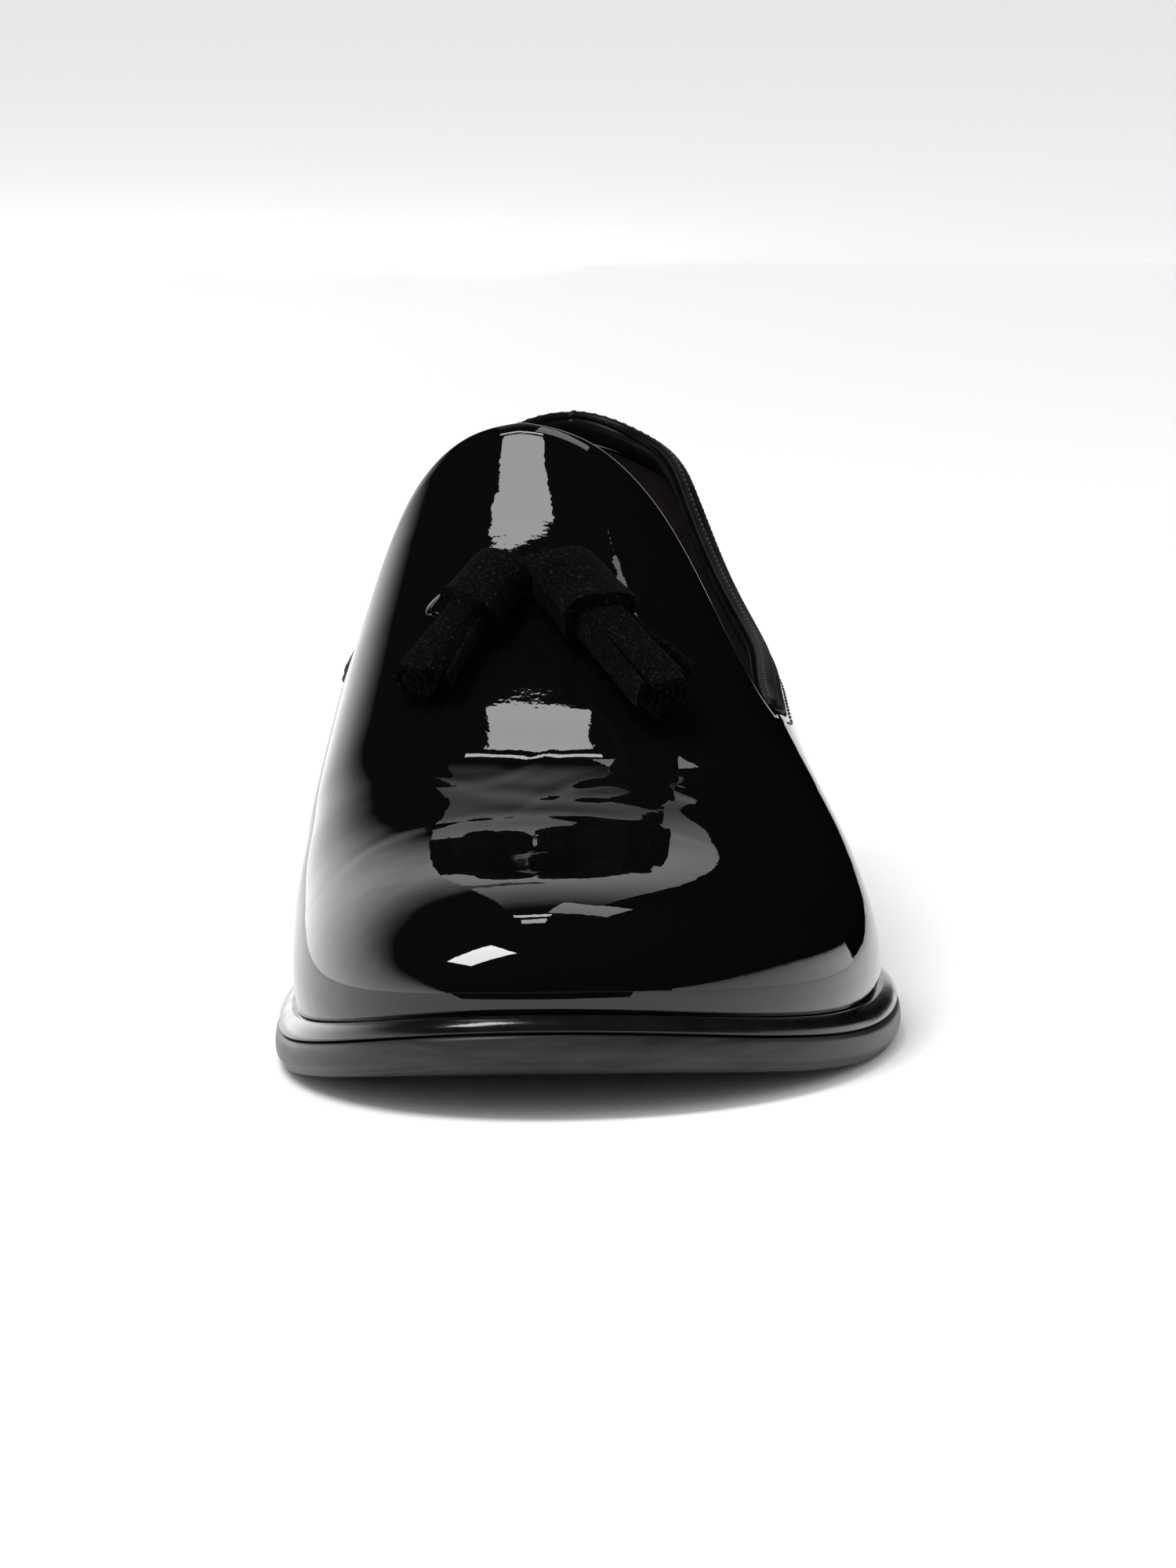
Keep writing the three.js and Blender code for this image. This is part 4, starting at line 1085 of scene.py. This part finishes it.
def reflector(name, azimuths, lows, highs, glow_low, glow_high, away=1.3):
    """A curved card round the shoe, from a low to a high elevation, that glows less towards its top."""
    cols, rows = 60, 8
    az = np.linspace(azimuths[0], azimuths[-1], cols)
    low = spline(azimuths, lows)(az)
    high = spline(azimuths, highs)(az)
    t = np.linspace(0, 1, rows)[:, None]
    points = LIT_POINT * [1, 1, 0] + heading(az[None] + 0 * t, lerp(low, high, t)) * away
    mesh = bpy.data.meshes.new(name)
    index = np.arange(rows * cols).reshape(rows, cols)
    quads = np.stack([index[:-1, :-1], index[:-1, 1:], index[1:, 1:], index[1:, :-1]], -1).reshape(-1, 4)
    mesh.from_pydata(points.reshape(-1, 3), [], quads.tolist())
    uv_map = mesh.uv_layers.new(name="UVMap")
    uv = np.stack([0 * t + np.linspace(0, 1, cols), t + 0 * az], -1).reshape(-1, 2)
    uv_map.data.foreach_set("uv", uv[quads.reshape(-1)].reshape(-1))
    made, tree, shader = finish(name, (0, 0, 0), 1.0, Specular_IOR_Level=0.0)
    shader.inputs["Emission Strength"].default_value = 1.0
    source = tree.nodes.new("ShaderNodeTexCoord")
    apart = tree.nodes.new("ShaderNodeSeparateXYZ")
    tree.links.new(source.outputs["UV"], apart.inputs["Vector"])
    stops = ((0.0, glow_low), (0.55, lerp(glow_low, glow_high, 0.55)), (0.85, glow_high * 0.8), (1.0, 0.0))
    colour = ramp(tree, apart.outputs["Y"], [(place, (glow,) * 3) for place, glow in stops])
    tree.links.new(colour, shader.inputs["Emission Color"])
    mesh.materials.append(made)
    card = bpy.data.objects.new(name, mesh)
    card.visible_camera = False
    card.visible_shadow = False
    bpy.context.scene.collection.objects.link(card)


def flat_card(name, corners, height, colour, seen):
    """A level sheet under or beside the shoe, as a stage piece."""
    mesh = bpy.data.meshes.new(name)
    mesh.from_pydata([(x, y, height) for x, y in corners], [], [tuple(range(len(corners)))])
    made, _, _ = finish(name, colour, 0.7, Specular_IOR_Level=0.1)
    mesh.materials.append(made)
    card = bpy.data.objects.new(name, mesh)
    if not seen:
        card.visible_camera = False
        card.visible_diffuse = False
        card.visible_shadow = False
    bpy.context.scene.collection.objects.link(card)


# The floor's dark half starts here, 55 mm in front of the toe, in metres
DARK_FRONT = -0.203


def make_studio():
    """Pale floor, a white world that the gloss doesn't see, softboxes above and pale cards at the sides."""
    flat_card("pale_floor", [(-9, -9), (9, -9), (9, 9), (-9, 9)], 0.0, (0.86, 0.86, 0.87), True)
    corners = [(-0.07, DARK_FRONT), (-1.6, -1.6), (1.6, -1.6), (0.07, DARK_FRONT)]
    flat_card("dark_front", corners, 0.0004, (0, 0, 0), False)
    world = bpy.data.worlds.new("studio")
    world.use_nodes = True
    world.node_tree.nodes["Background"].inputs["Color"].default_value = (1.0, 1.0, 1.0, 1)
    world.node_tree.nodes["Background"].inputs["Strength"].default_value = 0.95
    bpy.context.scene.world = world
    world.cycles_visibility.glossy = False
    bpy.context.scene.view_settings.view_transform = "Standard"
    softbox("back_softbox", 181, 58.6, (0.15, 0.048), 5.5)
    softbox("tongue_softbox", 180.5, 64.5, (0.11, 0.088), 4.5)
    softbox("low_softbox", 167, 51.5, (0.22, 0.19), 1.5)
    softbox("top_softbox", -59, 65, (0.34, 0.60), 17.0)
    reflector("left_card", [-180, -150, -120, -90, -60, -48], [0] * 6, [30, 40, 38, 28, 13, 2], 2.3, 0.45)
    reflector("back_card", [167, 188], [0, 0], [50, 53], 0.95, 0.4)
    reflector("right_card", [62, 90, 120, 146], [0, 0, 0, 0], [4, 13, 15, 7], 1.3, 1.0)


make_studio()


def make_camera():
    """Long lens a little above level in front of the toe, turned a little clockwise, as in the photograph."""
    camera = bpy.data.cameras.new("camera")
    camera.sensor_width = 36
    camera.lens = 308.9
    camera.clip_end = 50
    tilt, roll = np.radians(8.0), np.radians(0.7)
    right = np.array([1.0, 0, 0])
    up = np.array([0, np.sin(tilt), np.cos(tilt)])
    back = np.array([0, -np.cos(tilt), np.sin(tilt)])
    turned = np.eye(4)
    turned[:3, 0] = right * np.cos(roll) - up * np.sin(roll)
    turned[:3, 1] = up * np.cos(roll) + right * np.sin(roll)
    turned[:3, 2] = back
    turned[:3, 3] = to_row(np.array([[3.33, -2170.9, 361.0]]))[0]
    holder = bpy.data.objects.new("camera", camera)
    holder.matrix_world = Matrix(turned.tolist())
    bpy.context.scene.collection.objects.link(holder)
    bpy.context.scene.camera = holder


make_camera()
